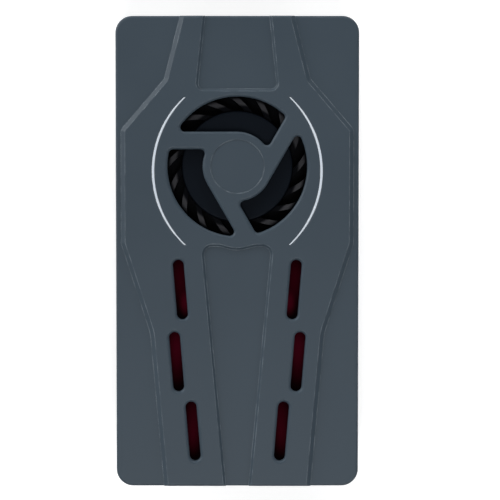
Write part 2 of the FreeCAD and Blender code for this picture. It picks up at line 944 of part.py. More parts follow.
def spring_seats():
    """The two posts that the return springs push against."""
    y0 = y_clamp + arm_width / 2 + 2 * fit_gap
    y1 = y0 + 2 * (spring_radius + fit_gap)
    seat = box(-spring_seat - spring_seat_width, -spring_seat, y0, y1, z_floor - above / 2, z_arm_top)
    return [seat, turned(seat, 180, 0, y_clamp)]


def guide_rails():
    """Rails that the arms' long edges slide along."""
    y0 = y_clamp + arm_width / 2 + fit_gap
    x_post = cover_post_spacing / 2 + small_post_radius
    x_jaw = half_width - jaw_thickness - side_wall
    rail = box(x_post + 1.0, x_jaw, y0, y0 + battery_rib, z_floor - above / 2, z_arm_top - fit_gap)
    return [turned(piece, turn, 0, y_clamp) for piece in (rail, mirrored(rail)) for turn in (0, 180)]


def rear_shell():
    outer = slab(0, z_rear, z_joint)
    outer = outer.makeFillet(rear_edge_round, edges_at(outer, z_rear))
    outer = outer.makeChamfer(joint_groove, edges_at(outer, z_joint))
    shell = outer.cut(slab(side_wall, z_floor, z_joint + above))
    shell = shell.cut(slab(lip_rebate, z_joint - lip_height - fit_gap, z_joint + above))
    added = battery_ribs().Solids + spring_seats() + guide_rails()
    holes = jaw_notches() + side_vents()
    for x, y in case_screw_places():
        added.append(cylinder(case_boss_radius, x, y, z_floor - above / 2, z_joint))
        holes.append(cylinder(case_screw_radius + 2 * fit_gap, x, y, z_rear - above, z_joint + above))
        z_seat = z_rear + counterbore_depth
        holes.append(cylinder(case_screw_head + 2 * fit_gap, x, y, z_rear - above, z_seat))
    posts = [(x, y, z_frame) for x, y in ear_places()]
    posts += [(x, y, z_cover) for x, y in cover_post_places()]
    posts += [(x, y, z_board) for x, y in board_screw_places()]
    for x, y, z_top in posts:
        added.append(cylinder(small_post_radius, x, y, z_floor - above / 2, z_top))
        holes.append(cylinder(small_pilot_radius, x, y, z_floor - rear_skin / 2, z_top + above))
    for x, y in plate_screw_places():
        holes.append(cylinder(small_pilot_radius, x, y, z_floor - plate_pilot_depth, z_floor + above))
    room = 2 * fit_gap
    window = rectangle(plate_window_width + room, plate_window_length + room, window_round, y_fan)
    holes.append(raised(rounded_polygon(window, z_rear - above), rear_skin + 2 * above))
    holes.append(cylinder(pinion_pin_radius, 0, y_clamp, z_floor - rear_skin / 2, z_floor + above))
    holes.append(usb_outline(usb_hole_gap, y_bottom - above, y_bottom + side_wall + above))
    holes.append(button_prism(button_gap, half_width - side_wall - above, half_width + above))
    return shell.fuse(added).cut(Part.makeCompound(holes)).removeSplitter()


def case_screws():
    z_seat = z_rear + counterbore_depth
    length = z_low_ceiling - z_seat - 2 * fit_gap
    model = screw(z_seat, 1, length, case_screw_radius, case_screw_head, case_screw_head_height)
    return copies(model, case_screw_places())


def small_screws(places, z_seat, length):
    """Small screws pointing down, with their heads seated at z_seat."""
    model = screw(z_seat, -1, length, small_screw_radius, small_screw_head, small_screw_head_height)
    return copies(model, places)


def rear_pads():
    """Four soft pads at the corners of the rear face."""
    places = []
    for side in (-1, 1):
        for end in (-1, 1):
            x = side * (half_width - rear_pad_from_side - rear_pad_width / 2)
            y = end * (half_length - rear_pad_from_end - rear_pad_length / 2)
            places.append((x, y))
    corners = rectangle(rear_pad_width, rear_pad_length, rear_pad_round)
    pad = raised(rounded_polygon(corners, z_rear - pad_thickness), pad_thickness)
    pad = pad.makeFillet(pad_thickness * 0.4, edges_at(pad, z_rear - pad_thickness))
    return copies(pad, places)


def cooling_plate():
    """Aluminium plate: a block that fills the rear window, a flange inside and a row of fins."""
    core = rectangle(plate_window_width, plate_window_length, window_round - fit_gap, y_fan)
    reach = 2 * plate_flange_reach
    flange = rectangle(plate_window_width + reach, plate_window_length + reach, window_round, y_fan)
    solids = [raised(rounded_polygon(core, z_rear), rear_skin + plate_flange / 2)]
    solids.append(raised(rounded_polygon(flange, z_floor), plate_flange))
    count = int(plate_window_length / fin_pitch)
    for i in range(count):
        y = y_fan + (i - (count - 1) / 2) * fin_pitch
        solids.append(block(0, y, plate_window_width, fin_thickness, z_floor + plate_flange / 2, z_fins))
    plate = fused(solids)
    room = [cylinder(tube_radius + frame_boss_wall + above, 0, y_fan, z_floor + plate_flange, z_fins + above)]
    for x, y in plate_screw_places():
        room.append(cylinder(small_hole_radius, x, y, z_floor - above, z_fins + above))
    return plate.cut(Part.makeCompound(room))


def thermal_pad():
    width = plate_window_width - 2 * pad_margin
    corners = rectangle(width, plate_window_length - 2 * pad_margin, window_round, y_fan)
    pad = raised(rounded_polygon(corners, z_rear - pad_thickness), pad_thickness)
    return pad.makeFillet(pad_thickness * 0.3, edges_at(pad, z_rear - pad_thickness))


# Fan


def blade():
    """One leaning blade, from inside the hub's wall to its tip, as an arc of steady thickness."""
    root = hub_radius - hub_wall / 2
    radii = (root, (root + blade_tip_radius) / 2, blade_tip_radius)
    lean = math.tan(math.radians(blade_lean))
    spots = []
    for radius in radii:
        angle = lean * math.log(radius / hub_radius)
        spots.append(Vector(radius * math.cos(angle), radius * math.sin(angle), 0))
    sides = []
    for side in (-0.5, 0.5):
        line = []
        for i, spot in enumerate(spots):
            angle = math.atan2(spot.y, spot.x) + math.radians(blade_lean)
            across = Vector(-math.sin(angle), math.cos(angle), 0)
            line.append(spot + across * (side * blade_thickness))
        sides.append(line)
    first, second = sides
    wire = Part.Wire(
        [
            Part.Arc(*first).toShape(),
            Part.LineSegment(first[2], second[2]).toShape(),
            Part.Arc(second[2], second[1], second[0]).toShape(),
            Part.LineSegment(second[0], first[0]).toShape(),
        ]
    )
    solid = raised(wire, z_hub_top - blade_setback - z_rotor)
    solid.translate(Vector(0, 0, z_rotor))
    return solid


def impeller():
    """Hub cup with a ring behind it and leaning blades on the ring."""
    cap = cylinder(hub_radius, 0, 0, z_rotor, z_hub_top)
    cap = cap.makeFillet(hub_edge_round, edges_at(cap, z_hub_top))
    solids = [cap, cylinder(blade_tip_radius, 0, 0, z_rotor, z_rotor + back_ring)]
    step = 360.0 / blade_count
    for i in range(blade_count):
        solids.append(turned(blade(), blade_first_angle + i * step))
    body = fused(solids)
    body = body.common(cylinder(blade_tip_radius, 0, 0, z_rotor, z_hub_top))
    body = body.cut(cylinder(hub_radius - hub_wall, 0, 0, z_rotor - above, z_hub_top - hub_wall))
    boss = cylinder(rotor_boss_radius, 0, 0, z_yoke_top - yoke_wall - fit_gap, z_hub_top - hub_wall / 2)
    body = body.fuse(boss).cut(cylinder(shaft_radius, 0, 0, z_rotor, z_hub_top - hub_wall / 2))
    body = body.removeSplitter()
    body.translate(Vector(0, y_fan, 0))
    return body


def rotor_yoke():
    """Steel cup pressed inside the hub."""
    z_top = z_yoke_top - fit_gap / 2
    cup = cylinder(yoke_radius, 0, y_fan, z_rotor + fit_gap, z_top)
    inside = cylinder(yoke_radius - yoke_wall, 0, y_fan, z_rotor, z_top - yoke_wall)
    hole = cylinder(rotor_boss_radius + fit_gap / 2, 0, y_fan, z_rotor, z_top + above)
    return cup.cut(inside).cut(hole)


def rotor_magnet():
    z_top = z_yoke_top - yoke_wall - fit_gap
    return ring(magnet_radius, magnet_radius - magnet_wall, 0, y_fan, z_rotor + 2 * fit_gap, z_top)


def rotor_shaft():
    """Steel pin with a groove near its foot for the clip."""
    z_foot = z_shaft_foot
    pin = cylinder(shaft_radius, 0, y_fan, z_foot, z_hub_top - hub_wall / 2)
    pin = pin.makeFillet(shaft_radius * 0.5, edges_at(pin, z_foot))
    z_clip = z_foot + clip_rise
    groove = ring(shaft_radius + above, shaft_radius - clip_groove, 0, y_fan, z_clip, z_clip + clip_thickness)
    return pin.cut(groove)


def shaft_clip():
    """Split ring in the shaft's groove that keeps the rotor from lifting off."""
    z_clip = z_shaft_foot + clip_rise
    play = 0.01
    inner = shaft_radius - clip_groove + play
    clip = ring(clip_radius, inner, 0, y_fan, z_clip + play, z_clip + clip_thickness - play)
    return clip.cut(block(clip_radius, y_fan, 2 * clip_radius, shaft_radius, z_clip - above, z_clip + above))


def thrust_washer():
    return cylinder(bearing_radius - fit_gap, 0, y_fan, z_tube_floor, z_tube_floor + thrust_washer_thickness)


def bearing_sleeve():
    """Sintered sleeve in the bearing tube, above the room for the clip."""
    z_foot = z_shaft_foot + clip_rise + clip_thickness + fit_gap
    return ring(bearing_radius, shaft_radius + shaft_running_gap, 0, y_fan, z_foot, z_tube_top)


def stator_core():
    """Laminated core: a hub with T-shaped poles."""
    pole_root = stator_bore + pole_root_wall
    shoe = pole_shoe
    solids = [cylinder(pole_root, 0, 0, z_stator, z_stator_top)]
    rim = ring(stator_radius, stator_radius - shoe, 0, 0, z_stator, z_stator_top)
    step = 360.0 / pole_count
    reach = stator_radius - shoe / 2
    past = stator_radius + above
    for i in range(pole_count):
        neck = block(reach / 2, 0, reach, pole_width, z_stator, z_stator_top)
        solids.append(turned(neck, i * step))
        gap = block(past / 2, 0, past, pole_gap, z_stator - above, z_stator_top + above)
        rim = rim.cut(turned(gap, (i + 0.5) * step))
    core = fused(solids + rim.Solids)
    core = core.cut(cylinder(stator_bore, 0, 0, z_stator - above, z_stator_top + above))
    core.translate(Vector(0, y_fan, 0))
    return core


def stator_coils():
    """One wound coil round each pole."""
    step = 360.0 / pole_count
    inner_end = stator_bore + pole_root_wall + coil_end_gap
    outer_end = stator_radius - pole_shoe - coil_end_gap / 2
    middle = (inner_end + outer_end) / 2
    length = outer_end - inner_end
    width = pole_width + 2 * coil_side
    coil = block(middle, 0, length, width, z_stator - coil_wall, z_stator_top + coil_wall)
    coil = coil.makeFillet(coil_wall * 0.8, [e for e in coil.Edges if e.BoundBox.XLength > length * 0.9])
    z0 = z_stator - fit_gap / 2
    z1 = z_stator_top + fit_gap / 2
    coil = coil.cut(block(middle, 0, length + 2 * above, pole_width + fit_gap, z0, z1))
    coil.translate(Vector(0, y_fan, 0))
    return Part.makeCompound([turned(coil, i * step, 0, y_fan) for i in range(pole_count)])


def motor_board():
    return ring(motor_board_reach, tube_radius + fit_gap / 2, 0, y_fan, z_frame_top, z_motor_board_top)


def fan_frame():
    """Open frame: motor base with its bearing tube, spokes, an outer ring and four ears."""
    ring_inner = blade_tip_radius + frame_ring_gap
    ring_outer = ring_inner + frame_ring_wall
    z_ring_top = z_hub_top - blade_setback
    base_radius = motor_board_reach + frame_base_margin
    solids = [
        cylinder(base_radius, 0, 0, z_frame, z_frame_top),
        cylinder(tube_radius + frame_boss_wall, 0, 0, z_frame - boss_drop, z_frame_top),
        cylinder(tube_radius, 0, 0, z_frame_top - above / 2, z_tube_top),
    ]
    flange = ring(ring_outer, ring_inner - frame_flange, 0, 0, z_frame, z_frame_top)
    wall = ring(ring_outer, ring_inner, 0, 0, z_frame, z_ring_top)
    for turn in (0, 180, 270):
        exhaust = block(ring_outer, 0, 2 * ring_outer, frame_exhaust, z_frame_top, z_ring_top + above)
        wall = wall.cut(turned(exhaust, turn))
    solids += [flange] + wall.Solids
    for turn in (45, 135, 225, 315, 270):
        arm = box(base_radius - above, ring_inner, -frame_spoke / 2, frame_spoke / 2, z_frame, z_frame_top)
        solids.append(turned(arm, turn))
    reach = ear_spacing / 2
    for x, y in ((-reach, -reach), (-reach, reach), (reach, -reach), (reach, reach)):
        solids.append(cylinder(ear_radius, x, y, z_frame, z_frame_top))
        distance = math.hypot(x, y)
        web = box(ring_outer - above / 2, distance, -ear_web / 2, ear_web / 2, z_frame, z_frame_top)
        solids.append(turned(web, math.degrees(math.atan2(y, x))))
    frame = fused(solids)
    cuts = [cylinder(bearing_radius + fit_gap / 4, 0, 0, z_tube_floor, z_tube_top + above)]
    for x, y in ((-reach, -reach), (-reach, reach), (reach, -reach), (reach, reach)):
        cuts.append(cylinder(small_hole_radius, x, y, z_frame - above, z_frame_top + above))
    half_groove = wire_groove_width / 2
    z_groove = z_frame_top - 2 * fan_wire_radius - 3 * fit_gap
    y_in = 2 * above - base_radius
    cuts.append(box(-half_groove, half_groove, -ring_outer - above, y_in, z_groove, z_frame_top + above))
    frame = frame.cut(Part.makeCompound(cuts))
    frame.translate(Vector(0, y_fan, 0))
    return frame


# Clamp


def rack_teeth(x0, x1):
    """Teeth that point down from the left arm's rack, cut to lie in mesh with the pinion at rest."""
    slope = math.tan(math.radians(pressure_angle))
    y_pitch = y_clamp + pitch_radius
    y_root = y_pitch + pinion_addendum + root_clearance
    y_tip = y_pitch - rack_addendum
    half = tooth_pitch / 4 - gear_backlash / 4
    teeth = []
    first = math.ceil((x0 + half * 2) / tooth_pitch)
    last = math.floor((x1 - half * 2) / tooth_pitch)
    for i in range(first, last + 1):
        x = i * tooth_pitch
        root = half + (y_root - y_pitch) * slope
        tip = half - rack_addendum * slope
        corners = [(x - tip, y_tip, 0), (x + tip, y_tip, 0), (x + root, y_root, 0), (x - root, y_root, 0)]
        teeth.append(raised(rounded_polygon(corners, z_arm), arm_thickness))
    return teeth, y_root


def clamp_arm(shift):
    """The left arm: jaw outside, plate inside the notch, then a rack that passes over the pinion."""
    x_out = -half_width
    x_jaw = x_out + jaw_thickness
    y_jaw = y_clamp + shift
    reach = jaw_length / 2
    profile = [
        (x_out, 0, jaw_round),
        (x_jaw + jaw_lip, 0, jaw_lip_thickness * 0.45),
        (x_jaw + jaw_lip, jaw_lip_thickness, jaw_lip_thickness * 0.45),
        (x_jaw, jaw_lip_thickness, jaw_lip_root),
        (x_jaw, z_arm_top, 0),
        (x_out, z_arm_top, jaw_round * 0.4),
    ]
    jaw = raised(rounded_polygon(profile, 0), jaw_length)
    jaw.rotate(Vector(0, 0, 0), Vector(1, 0, 0), 90)
    jaw.translate(Vector(0, y_jaw + reach, 0))
    side = [
        (y_jaw - reach, 0, jaw_corner_round),
        (y_jaw + reach, 0, jaw_corner_round),
        (y_jaw + reach, z_arm_top, jaw_round * 0.4),
        (y_jaw - reach, z_arm_top, jaw_round * 0.4),
    ]
    outline = raised(rounded_polygon(side, x_out - above), jaw_thickness + jaw_lip + 2 * above)
    outline.rotate(Vector(0, 0, 0), Vector(1, 1, 1), 120)
    jaw = jaw.common(outline)
    half_arm = arm_width / 2
    plate = box(x_jaw - above / 2, -arm_neck, y_clamp - half_arm, y_clamp + half_arm, z_arm, z_arm_top)
    teeth, y_root = rack_teeth(-arm_neck, arm_inner_end)
    y_edge = y_clamp + half_arm
    bar = box(-arm_neck - above, arm_inner_end, y_root, y_edge, z_arm, z_arm_top)
    y_tab = y_edge + 2 * spring_radius + 3 * fit_gap
    tab = box(arm_inner_end - spring_seat_width, arm_inner_end, y_root, y_tab, z_arm, z_arm_top)
    return fused([jaw, plate, bar, tab] + teeth)


def jaw_pad(shift):
    """Soft liner on the inside of the left jaw."""
    x = -half_width + jaw_thickness
    y_jaw = y_clamp + shift
    reach = jaw_length / 2 - jaw_corner_round
    z_foot = jaw_lip_thickness + jaw_lip_root + fit_gap
    z_top = z_rear - pad_thickness - 2 * fit_gap
    pad = box(x, x + jaw_pad_thickness, y_jaw - reach, y_jaw + reach, z_foot, z_top)
    edges = [e for e in pad.Edges if e.BoundBox.XMin > x + jaw_pad_thickness - 1e-3]
    return pad.makeFillet(jaw_pad_thickness * 0.4, edges)


def involute(base_radius, radius):
    """Angle of the involute at a radius, from where it leaves its base circle."""
    ratio = radius / base_radius
    return math.sqrt(max(ratio * ratio - 1, 0)) - math.atan(math.sqrt(max(ratio * ratio - 1, 0)))


def sync_pinion():
    """Twelve involute teeth, each flank an arc through three points of its involute."""
    base = pitch_radius * math.cos(math.radians(pressure_angle))
    tip = pitch_radius + pinion_addendum
    root = pitch_radius - rack_addendum - root_clearance
    half_at_pitch = math.pi / 2 / pinion_teeth - gear_backlash / 4 / pitch_radius
    half_at_base = half_at_pitch + involute(base, pitch_radius)
    step = 2 * math.pi / pinion_teeth

    def spot(radius, angle):
        return Vector(radius * math.cos(angle), radius * math.sin(angle), 0)

    def flank(middle, side):
        radii = (base, (base + tip) / 2, tip)
        return [spot(r, middle + side * (half_at_base - involute(base, r))) for r in radii]

    edges = []
    for i in range(pinion_teeth):
        middle = (i + 0.5) * step
        rising = flank(middle, -1)
        falling = flank(middle, 1)
        foot_in = spot(root, middle - half_at_base)
        foot_out = spot(root, middle + half_at_base)
        next_foot = spot(root, middle + step - half_at_base)
        edges += [
            Part.LineSegment(foot_in, rising[0]).toShape(),
            Part.Arc(*rising).toShape(),
            Part.Arc(rising[2], spot(tip, middle), falling[2]).toShape(),
            Part.Arc(falling[2], falling[1], falling[0]).toShape(),
            Part.LineSegment(falling[0], foot_out).toShape(),
            Part.Arc(foot_out, spot(root, middle + step / 2), next_foot).toShape(),
        ]
    gear = raised(Part.Wire(edges), arm_thickness)
    gear.translate(Vector(0, y_clamp, z_arm))
    return gear.cut(cylinder(pinion_pin_radius + pinion_play, 0, y_clamp, z_arm - above, z_arm_top + above))


def pinion_pin():
    return cylinder(pinion_pin_radius, 0, y_clamp, z_floor - rear_skin / 2, z_cover + cover_thickness)


def clamp_cover():
    """Flat plate that keeps the arms and the pinion down."""
    length = arm_width + 2 * (cover_post_margin + cover_margin)
    corners = rectangle(cover_width, length, 3.0, y_clamp)
    plate = raised(rounded_polygon(corners, z_cover), cover_thickness)
    z_out = z_cover + cover_thickness + above
    holes = [cylinder(pinion_pin_radius + pin_play, 0, y_clamp, z_cover - above, z_out)]
    for x, y in cover_post_places():
        holes.append(cylinder(small_hole_radius, x, y, z_cover - above, z_out))
    return plate.cut(Part.makeCompound(holes))


def return_spring():
    """Compression spring between the fixed seat and the left arm's tab."""
    gap = fit_gap / 2
    x0 = -spring_seat + gap
    x1 = arm_inner_end - spring_seat_width - gap
    coil_radius = spring_radius - spring_wire
    rise = x1 - x0 - 2 * spring_wire
    helix = Part.makeHelix(rise / spring_turns, rise, coil_radius)
    profile = Part.Wire(Part.Circle(Vector(coil_radius, 0, 0), Vector(0, 1, 0), spring_wire).toShape())
    spring = Part.Wire(helix).makePipeShell([profile], True, True)
    spring.rotate(Vector(0, 0, 0), Vector(0, 1, 0), 90)
    y = y_clamp + arm_width / 2 + spring_radius + 3 * fit_gap
    spring.translate(Vector(x0 + spring_wire, y, z_arm + arm_thickness / 2))
    return spring


# Battery and electronics


def battery_cell():
    """Flat pouch cell with a folded seam at its end."""
    half = battery_width / 2
    half_seam = half - seam_margin
    cell = box(-half, half, y_battery, y_battery + battery_length, z_battery, z_battery + battery_height)
    long_edges = [e for e in cell.Edges if e.BoundBox.YLength > battery_length * 0.9]
    cell = cell.makeFillet(battery_round, long_edges)
    z = z_battery + battery_height / 2
    y0 = y_battery - battery_seam
    seam = box(-half_seam, half_seam, y0, y_battery + above, z - battery_seam, z + battery_seam)
    return cell.fuse(seam).removeSplitter()


def battery_tape():
    y = y_battery + battery_length / 2
    width = battery_width - 2 * tape_margin
    return block(0, y, width, battery_length - 2 * tape_margin, z_tape, z_battery)


def main_board():
    half = board_width / 2
    board = box(-half, half, y_board, y_board + board_length, z_board, z_board_top)
    corners = [e for e in board.Edges if e.BoundBox.ZLength > board_thickness * 0.9]
    board = board.makeFillet(1.0, corners)
    hole = cylinder(small_hole_radius, 0, 0, z_board - above, z_board_top + above)
    return board.cut(copies(hole, board_screw_places()))


def chip(x, y, width, length, height):
    """A component on the main board, placed from its middle."""
    return block(x, y, width, length, z_board_top, z_board_top + height)


def board_chips():
    """Motor driver, charger, boost coil and a few capacitors."""
    y_near = y_board + chip_from_edge
    y_far = y_board + board_length - chip_from_edge
    coil = chip(-coil_reach, y_near, boost_coil_size, boost_coil_size, boost_coil_height)
    upright = [e for e in coil.Edges if e.BoundBox.ZLength > boost_coil_height * 0.9]
    coil = coil.makeFillet(boost_coil_round, upright)
    parts = [coil]
    parts.append(chip(-coil_reach, y_far, charger_size, charger_size, charger_height))
    parts.append(chip(driver_reach, y_near, driver_size, driver_size, driver_height))
    x_screw = board_screw_places()[1][0]
    for i in range(capacitor_count):
        x = x_screw - capacitor_margin - i * capacitor_pitch
        parts.append(chip(x, y_near, capacitor_width, capacitor_length, capacitor_height))
    return Part.makeCompound(parts)


def wire_sockets():
    """Two-pin sockets: one for the fan, one for the battery and one for each light board."""
    x_light = bar_middle(y_light_socket)
    places = [(0, y_socket_row), (battery_socket_x, y_socket_row)]
    places += [(side * x_light, y_light_socket) for side in (-1, 1)]
    return Part.makeCompound([chip(x, y, socket_width, socket_length, socket_height) for x, y in places])


def usb_socket():
    y0 = y_bottom + usb_inset
    outer = usb_outline(0, y0, y0 + usb_depth)
    inner = usb_outline(-usb_wall, y0 - above, y0 + usb_depth - usb_wall)
    return outer.cut(inner)


def usb_tongue():
    """Contact tongue inside the socket, joined to the socket's back wall."""
    y0 = y_bottom + usb_inset + 1.0
    y1 = y_bottom + usb_inset + usb_depth - usb_wall
    half = usb_width / 2 - 1.2
    thick = tongue_board_thickness / 2
    blade_part = box(-half, half, y0, y1, z_usb - thick, z_usb + thick)
    root = box(-half, half, y1 - 1.6, y1, z_usb - 2 * thick, z_usb + 2 * thick)
    return blade_part.fuse(root).removeSplitter()


def switch_body():
    y0 = y_button - switch_width / 2
    z_top = z_board_top + switch_height
    body = box(x_switch - switch_depth, x_switch, y0, y0 + switch_width, z_board_top, z_top)
    depth = plunger_seat + button_travel + plunger_spare
    foot = Vector(x_switch - depth, y_button, z_button)
    return body.cut(Part.makeCylinder(plunger_radius + fit_gap, depth + above, foot, Vector(1, 0, 0)))


def switch_plunger():
    length = plunger_seat + button_travel + plunger_spare
    foot = Vector(x_switch - plunger_seat, y_button, z_button)
    return Part.makeCylinder(plunger_radius, length, foot, Vector(1, 0, 0))


def power_button():
    """Cap in the wall's hole, a flange behind the wall and a stem to the switch."""
    x_wall = half_width - side_wall
    cap = button_prism(0, x_wall - button_flange, half_width)
    face = [e for e in cap.Edges if e.BoundBox.XMin > half_width - 1e-3]
    cap = cap.makeFillet(0.25, face)
    x_flange = x_wall - 2 * fit_gap
    y_reach = button_width / 2 + button_lip
    z_reach = (button_height + button_flange) / 2 + button_flange / 2
    z0 = z_button - z_reach
    z1 = z_button + z_reach
    flange = box(x_flange - button_flange, x_flange, y_button - y_reach, y_button + y_reach, z0, z1)
    x_stem = x_switch + button_travel + plunger_spare
    half = button_stem / 2
    thick = button_stem / 3
    stem = box(x_stem, x_flange, y_button - half, y_button + half, z_button - thick, z_button + thick)
    return fused([cap, flange, stem])


def fan_wires():
    """From the motor board along the frame's groove, over the clamp and the battery to the main board."""
    z_groove = z_frame_top - fan_wire_radius - 0.1
    z_high = z_battery + battery_height + 4 * fan_wire_radius
    y_frame = y_fan - blade_tip_radius
    bend = 1.5
    points = [
        (0, y_fan - motor_board_reach + 1.0, z_groove),
        (0, y_frame - 2.5, z_groove),
        (0, y_clamp + 6.0, z_high),
        (0, y_socket_row + bend, z_high),
        (0, y_socket_row, z_high - bend),
        (0, y_socket_row, z_board_top + socket_height),
    ]
    return Part.makeCompound(wires(points, 3 * fan_wire_radius, fan_wire_radius))


def battery_wires():
    """A short straight pair from the cell's seam to its socket."""
    y_plug = y_socket_row + socket_length / 2
    reach = y_battery - battery_seam - y_plug
    z = z_battery + battery_height / 2
    pair = []
    for side in (-0.5, 0.5):
        start = Vector(battery_socket_x + side * lead_spacing, y_plug, z)
        pair.append(Part.makeCylinder(lead_radius, reach, start, Vector(0, 1, 0)))
    return Part.makeCompound(pair)


def light_wires():
    """Upright pairs from each light board down to its socket."""
    z0 = z_board_top + socket_height
    x = bar_middle(y_light_socket)
    lead = cylinder(lead_radius, 0, y_light_socket, z0, z_light_board)
    pair = copies(lead, [(x - lead_spacing / 2, 0), (x + lead_spacing / 2, 0)])
    return {"light_wires_left": mirrored(pair), "light_wires_right": pair}


def all_nodes():
    """Every node of the model, by name."""
    spring = return_spring()
    nodes = {
        "front_shell": front_shell(),
        "rear_shell": rear_shell(),
        "case_screws": case_screws(),
        "rear_pads": rear_pads(),
        "cooling_plate": cooling_plate(),
        "plate_screws": small_screws(plate_screw_places(), z_floor + plate_flange, plate_screw_length),
        "thermal_pad": thermal_pad(),
        "fan_frame": fan_frame(),
        "fan_screws": small_screws(ear_places(), z_frame_top, fan_screw_length),
        "bearing_sleeve": bearing_sleeve(),
        "thrust_washer": thrust_washer(),
        "motor_board": motor_board(),
        "stator_core": stator_core(),
        "stator_coils": stator_coils(),
        "impeller": impeller(),
        "rotor_yoke": rotor_yoke(),
        "rotor_magnet": rotor_magnet(),
        "rotor_shaft": rotor_shaft(),
        "shaft_clip": shaft_clip(),
        "clamp_arm_left": clamp_arm(jaw_shift),
        "clamp_arm_right": turned(clamp_arm(-jaw_shift), 180, 0, y_clamp),
        "jaw_pad_left": jaw_pad(jaw_shift),
        "jaw_pad_right": turned(jaw_pad(-jaw_shift), 180, 0, y_clamp),
        "return_spring_left": spring,
        "return_spring_right": turned(spring, 180, 0, y_clamp),
        "sync_pinion": sync_pinion(),
        "pinion_pin": pinion_pin(),
        "clamp_cover": clamp_cover(),
        "cover_screws": small_screws(cover_post_places(), z_cover + cover_thickness, cover_screw_length),
        "battery_cell": battery_cell(),
        "battery_tape": battery_tape(),
        "battery_wires": battery_wires(),
        "main_board": main_board(),
        "board_screws": small_screws(board_screw_places(), z_board_top, board_screw_length),
        "board_chips": board_chips(),
        "wire_sockets": wire_sockets(),
        "usb_socket": usb_socket(),
        "usb_tongue": usb_tongue(),
        "switch_body": switch_body(),
        "switch_plunger": switch_plunger(),
        "power_button": power_button(),
        "fan_wires": fan_wires(),
    }
    nodes.update(crescents())
    nodes.update(light_bars())
    nodes.update(light_wires())
    return nodes


os.makedirs("parts", exist_ok=True)
for name, shape in all_nodes().items():
    valid = all(solid.isValid() and solid.Volume > 0 for solid in shape.Solids)
    print(f"{name}: {len(shape.Solids)} solid(s), {shape.Volume:.1f} mm3, valid {valid}")
    shape.exportStep(f"parts/{name}.step")
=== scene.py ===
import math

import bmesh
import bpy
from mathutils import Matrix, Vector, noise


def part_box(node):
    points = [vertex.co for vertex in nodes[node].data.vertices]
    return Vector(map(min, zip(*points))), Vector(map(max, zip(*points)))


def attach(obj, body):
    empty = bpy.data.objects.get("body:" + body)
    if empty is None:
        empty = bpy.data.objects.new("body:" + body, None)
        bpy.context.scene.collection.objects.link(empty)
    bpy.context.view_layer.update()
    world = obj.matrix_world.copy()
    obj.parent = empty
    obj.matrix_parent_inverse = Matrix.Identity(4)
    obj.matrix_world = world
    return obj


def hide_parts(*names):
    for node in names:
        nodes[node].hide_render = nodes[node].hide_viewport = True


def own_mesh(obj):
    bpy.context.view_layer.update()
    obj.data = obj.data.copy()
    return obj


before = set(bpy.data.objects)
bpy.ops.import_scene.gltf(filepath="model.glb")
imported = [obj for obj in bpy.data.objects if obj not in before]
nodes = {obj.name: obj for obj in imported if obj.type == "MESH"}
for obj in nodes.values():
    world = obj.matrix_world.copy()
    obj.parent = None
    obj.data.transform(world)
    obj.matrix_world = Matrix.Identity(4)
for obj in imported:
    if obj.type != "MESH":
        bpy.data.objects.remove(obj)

# %% [markdown]
# # A clip-on cooling fan for a phone
#
# The object is a flat slab that clips to the back of a phone. Its front is one dark grey moulded
# cover with a raised middle, a swirled round opening over a fan, two thin white strips and six
# slanted slots with dim red light behind them. Its rear has a cooling plate under a soft pad, four
# rubber feet and a sprung clamp with two jaws.
#
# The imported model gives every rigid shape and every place. This lesson adds the stage, the
# finishes, and the soft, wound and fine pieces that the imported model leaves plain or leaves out.

scene = bpy.context.scene
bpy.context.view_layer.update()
mm = 0.001

# %% [markdown]
# ## Camera
#
# The photograph looks almost straight down on the front. The body's lower end looks one percent
# narrower than its upper end, so the camera stands a little towards the fan's end, about 0.6 m
# away, and a long lens gives that weak perspective. The body stands a little left of the picture's
# middle, and a small lens shift does the same here.

# %% Camera
picture_width = 500  # in pixels, like the next two values
width_in_picture = 242.8
view_shift = (12.7, 2.25)  # how far the view moves to the right and up
camera_distance = 600 * mm
camera_tilt = math.radians(2.9)
middle_rise = 1 * mm  # the camera points at the low plates, this far under the raised middle

low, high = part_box("front_shell")
body_width = high.x - low.x
lens = bpy.data.cameras.new("product_lens")
lens.sensor_width = 36
lens.lens = lens.sensor_width * camera_distance * (width_in_picture / picture_width) / body_width
lens.shift_x = view_shift[0] / picture_width
lens.shift_y = view_shift[1] / picture_width
camera = bpy.data.objects.new("product_camera", lens)
offset = Vector((0, math.sin(camera_tilt), math.cos(camera_tilt))) * camera_distance
camera.location = Vector((0, 0, high.z - middle_rise)) + offset
camera.rotation_euler = (-camera_tilt, 0, 0)
scene.collection.objects.link(camera)
scene.camera = camera
scene.view_settings.view_transform = "Standard"
print("lens", round(lens.lens, 1), "mm")

# %% [markdown]
# ## Stage and light
#
# A pale floor and soft lamps stand in for a plain studio. In the photograph the narrow slopes that
# face up and to the left are bright and those on the right show a fine light line, so the key lamp
# stands low on the upper left, two lamps stand low at the fan's end, and weak ones light the right
# and the left. A high lamp past the lower end makes the lower half a little brighter.
#
# A low lamp mirrors as a pale sheen on the flat front when one looks from the far side. So the key
# lamp is large, and lamps that only have to light the plastic are hidden from gloss. Floor and
# surroundings look white because of their own colour, and the lamps are only as strong as a colour
# needs to look as it is written.

# %% Lamps
lamp_distance = 1.8  # in metres


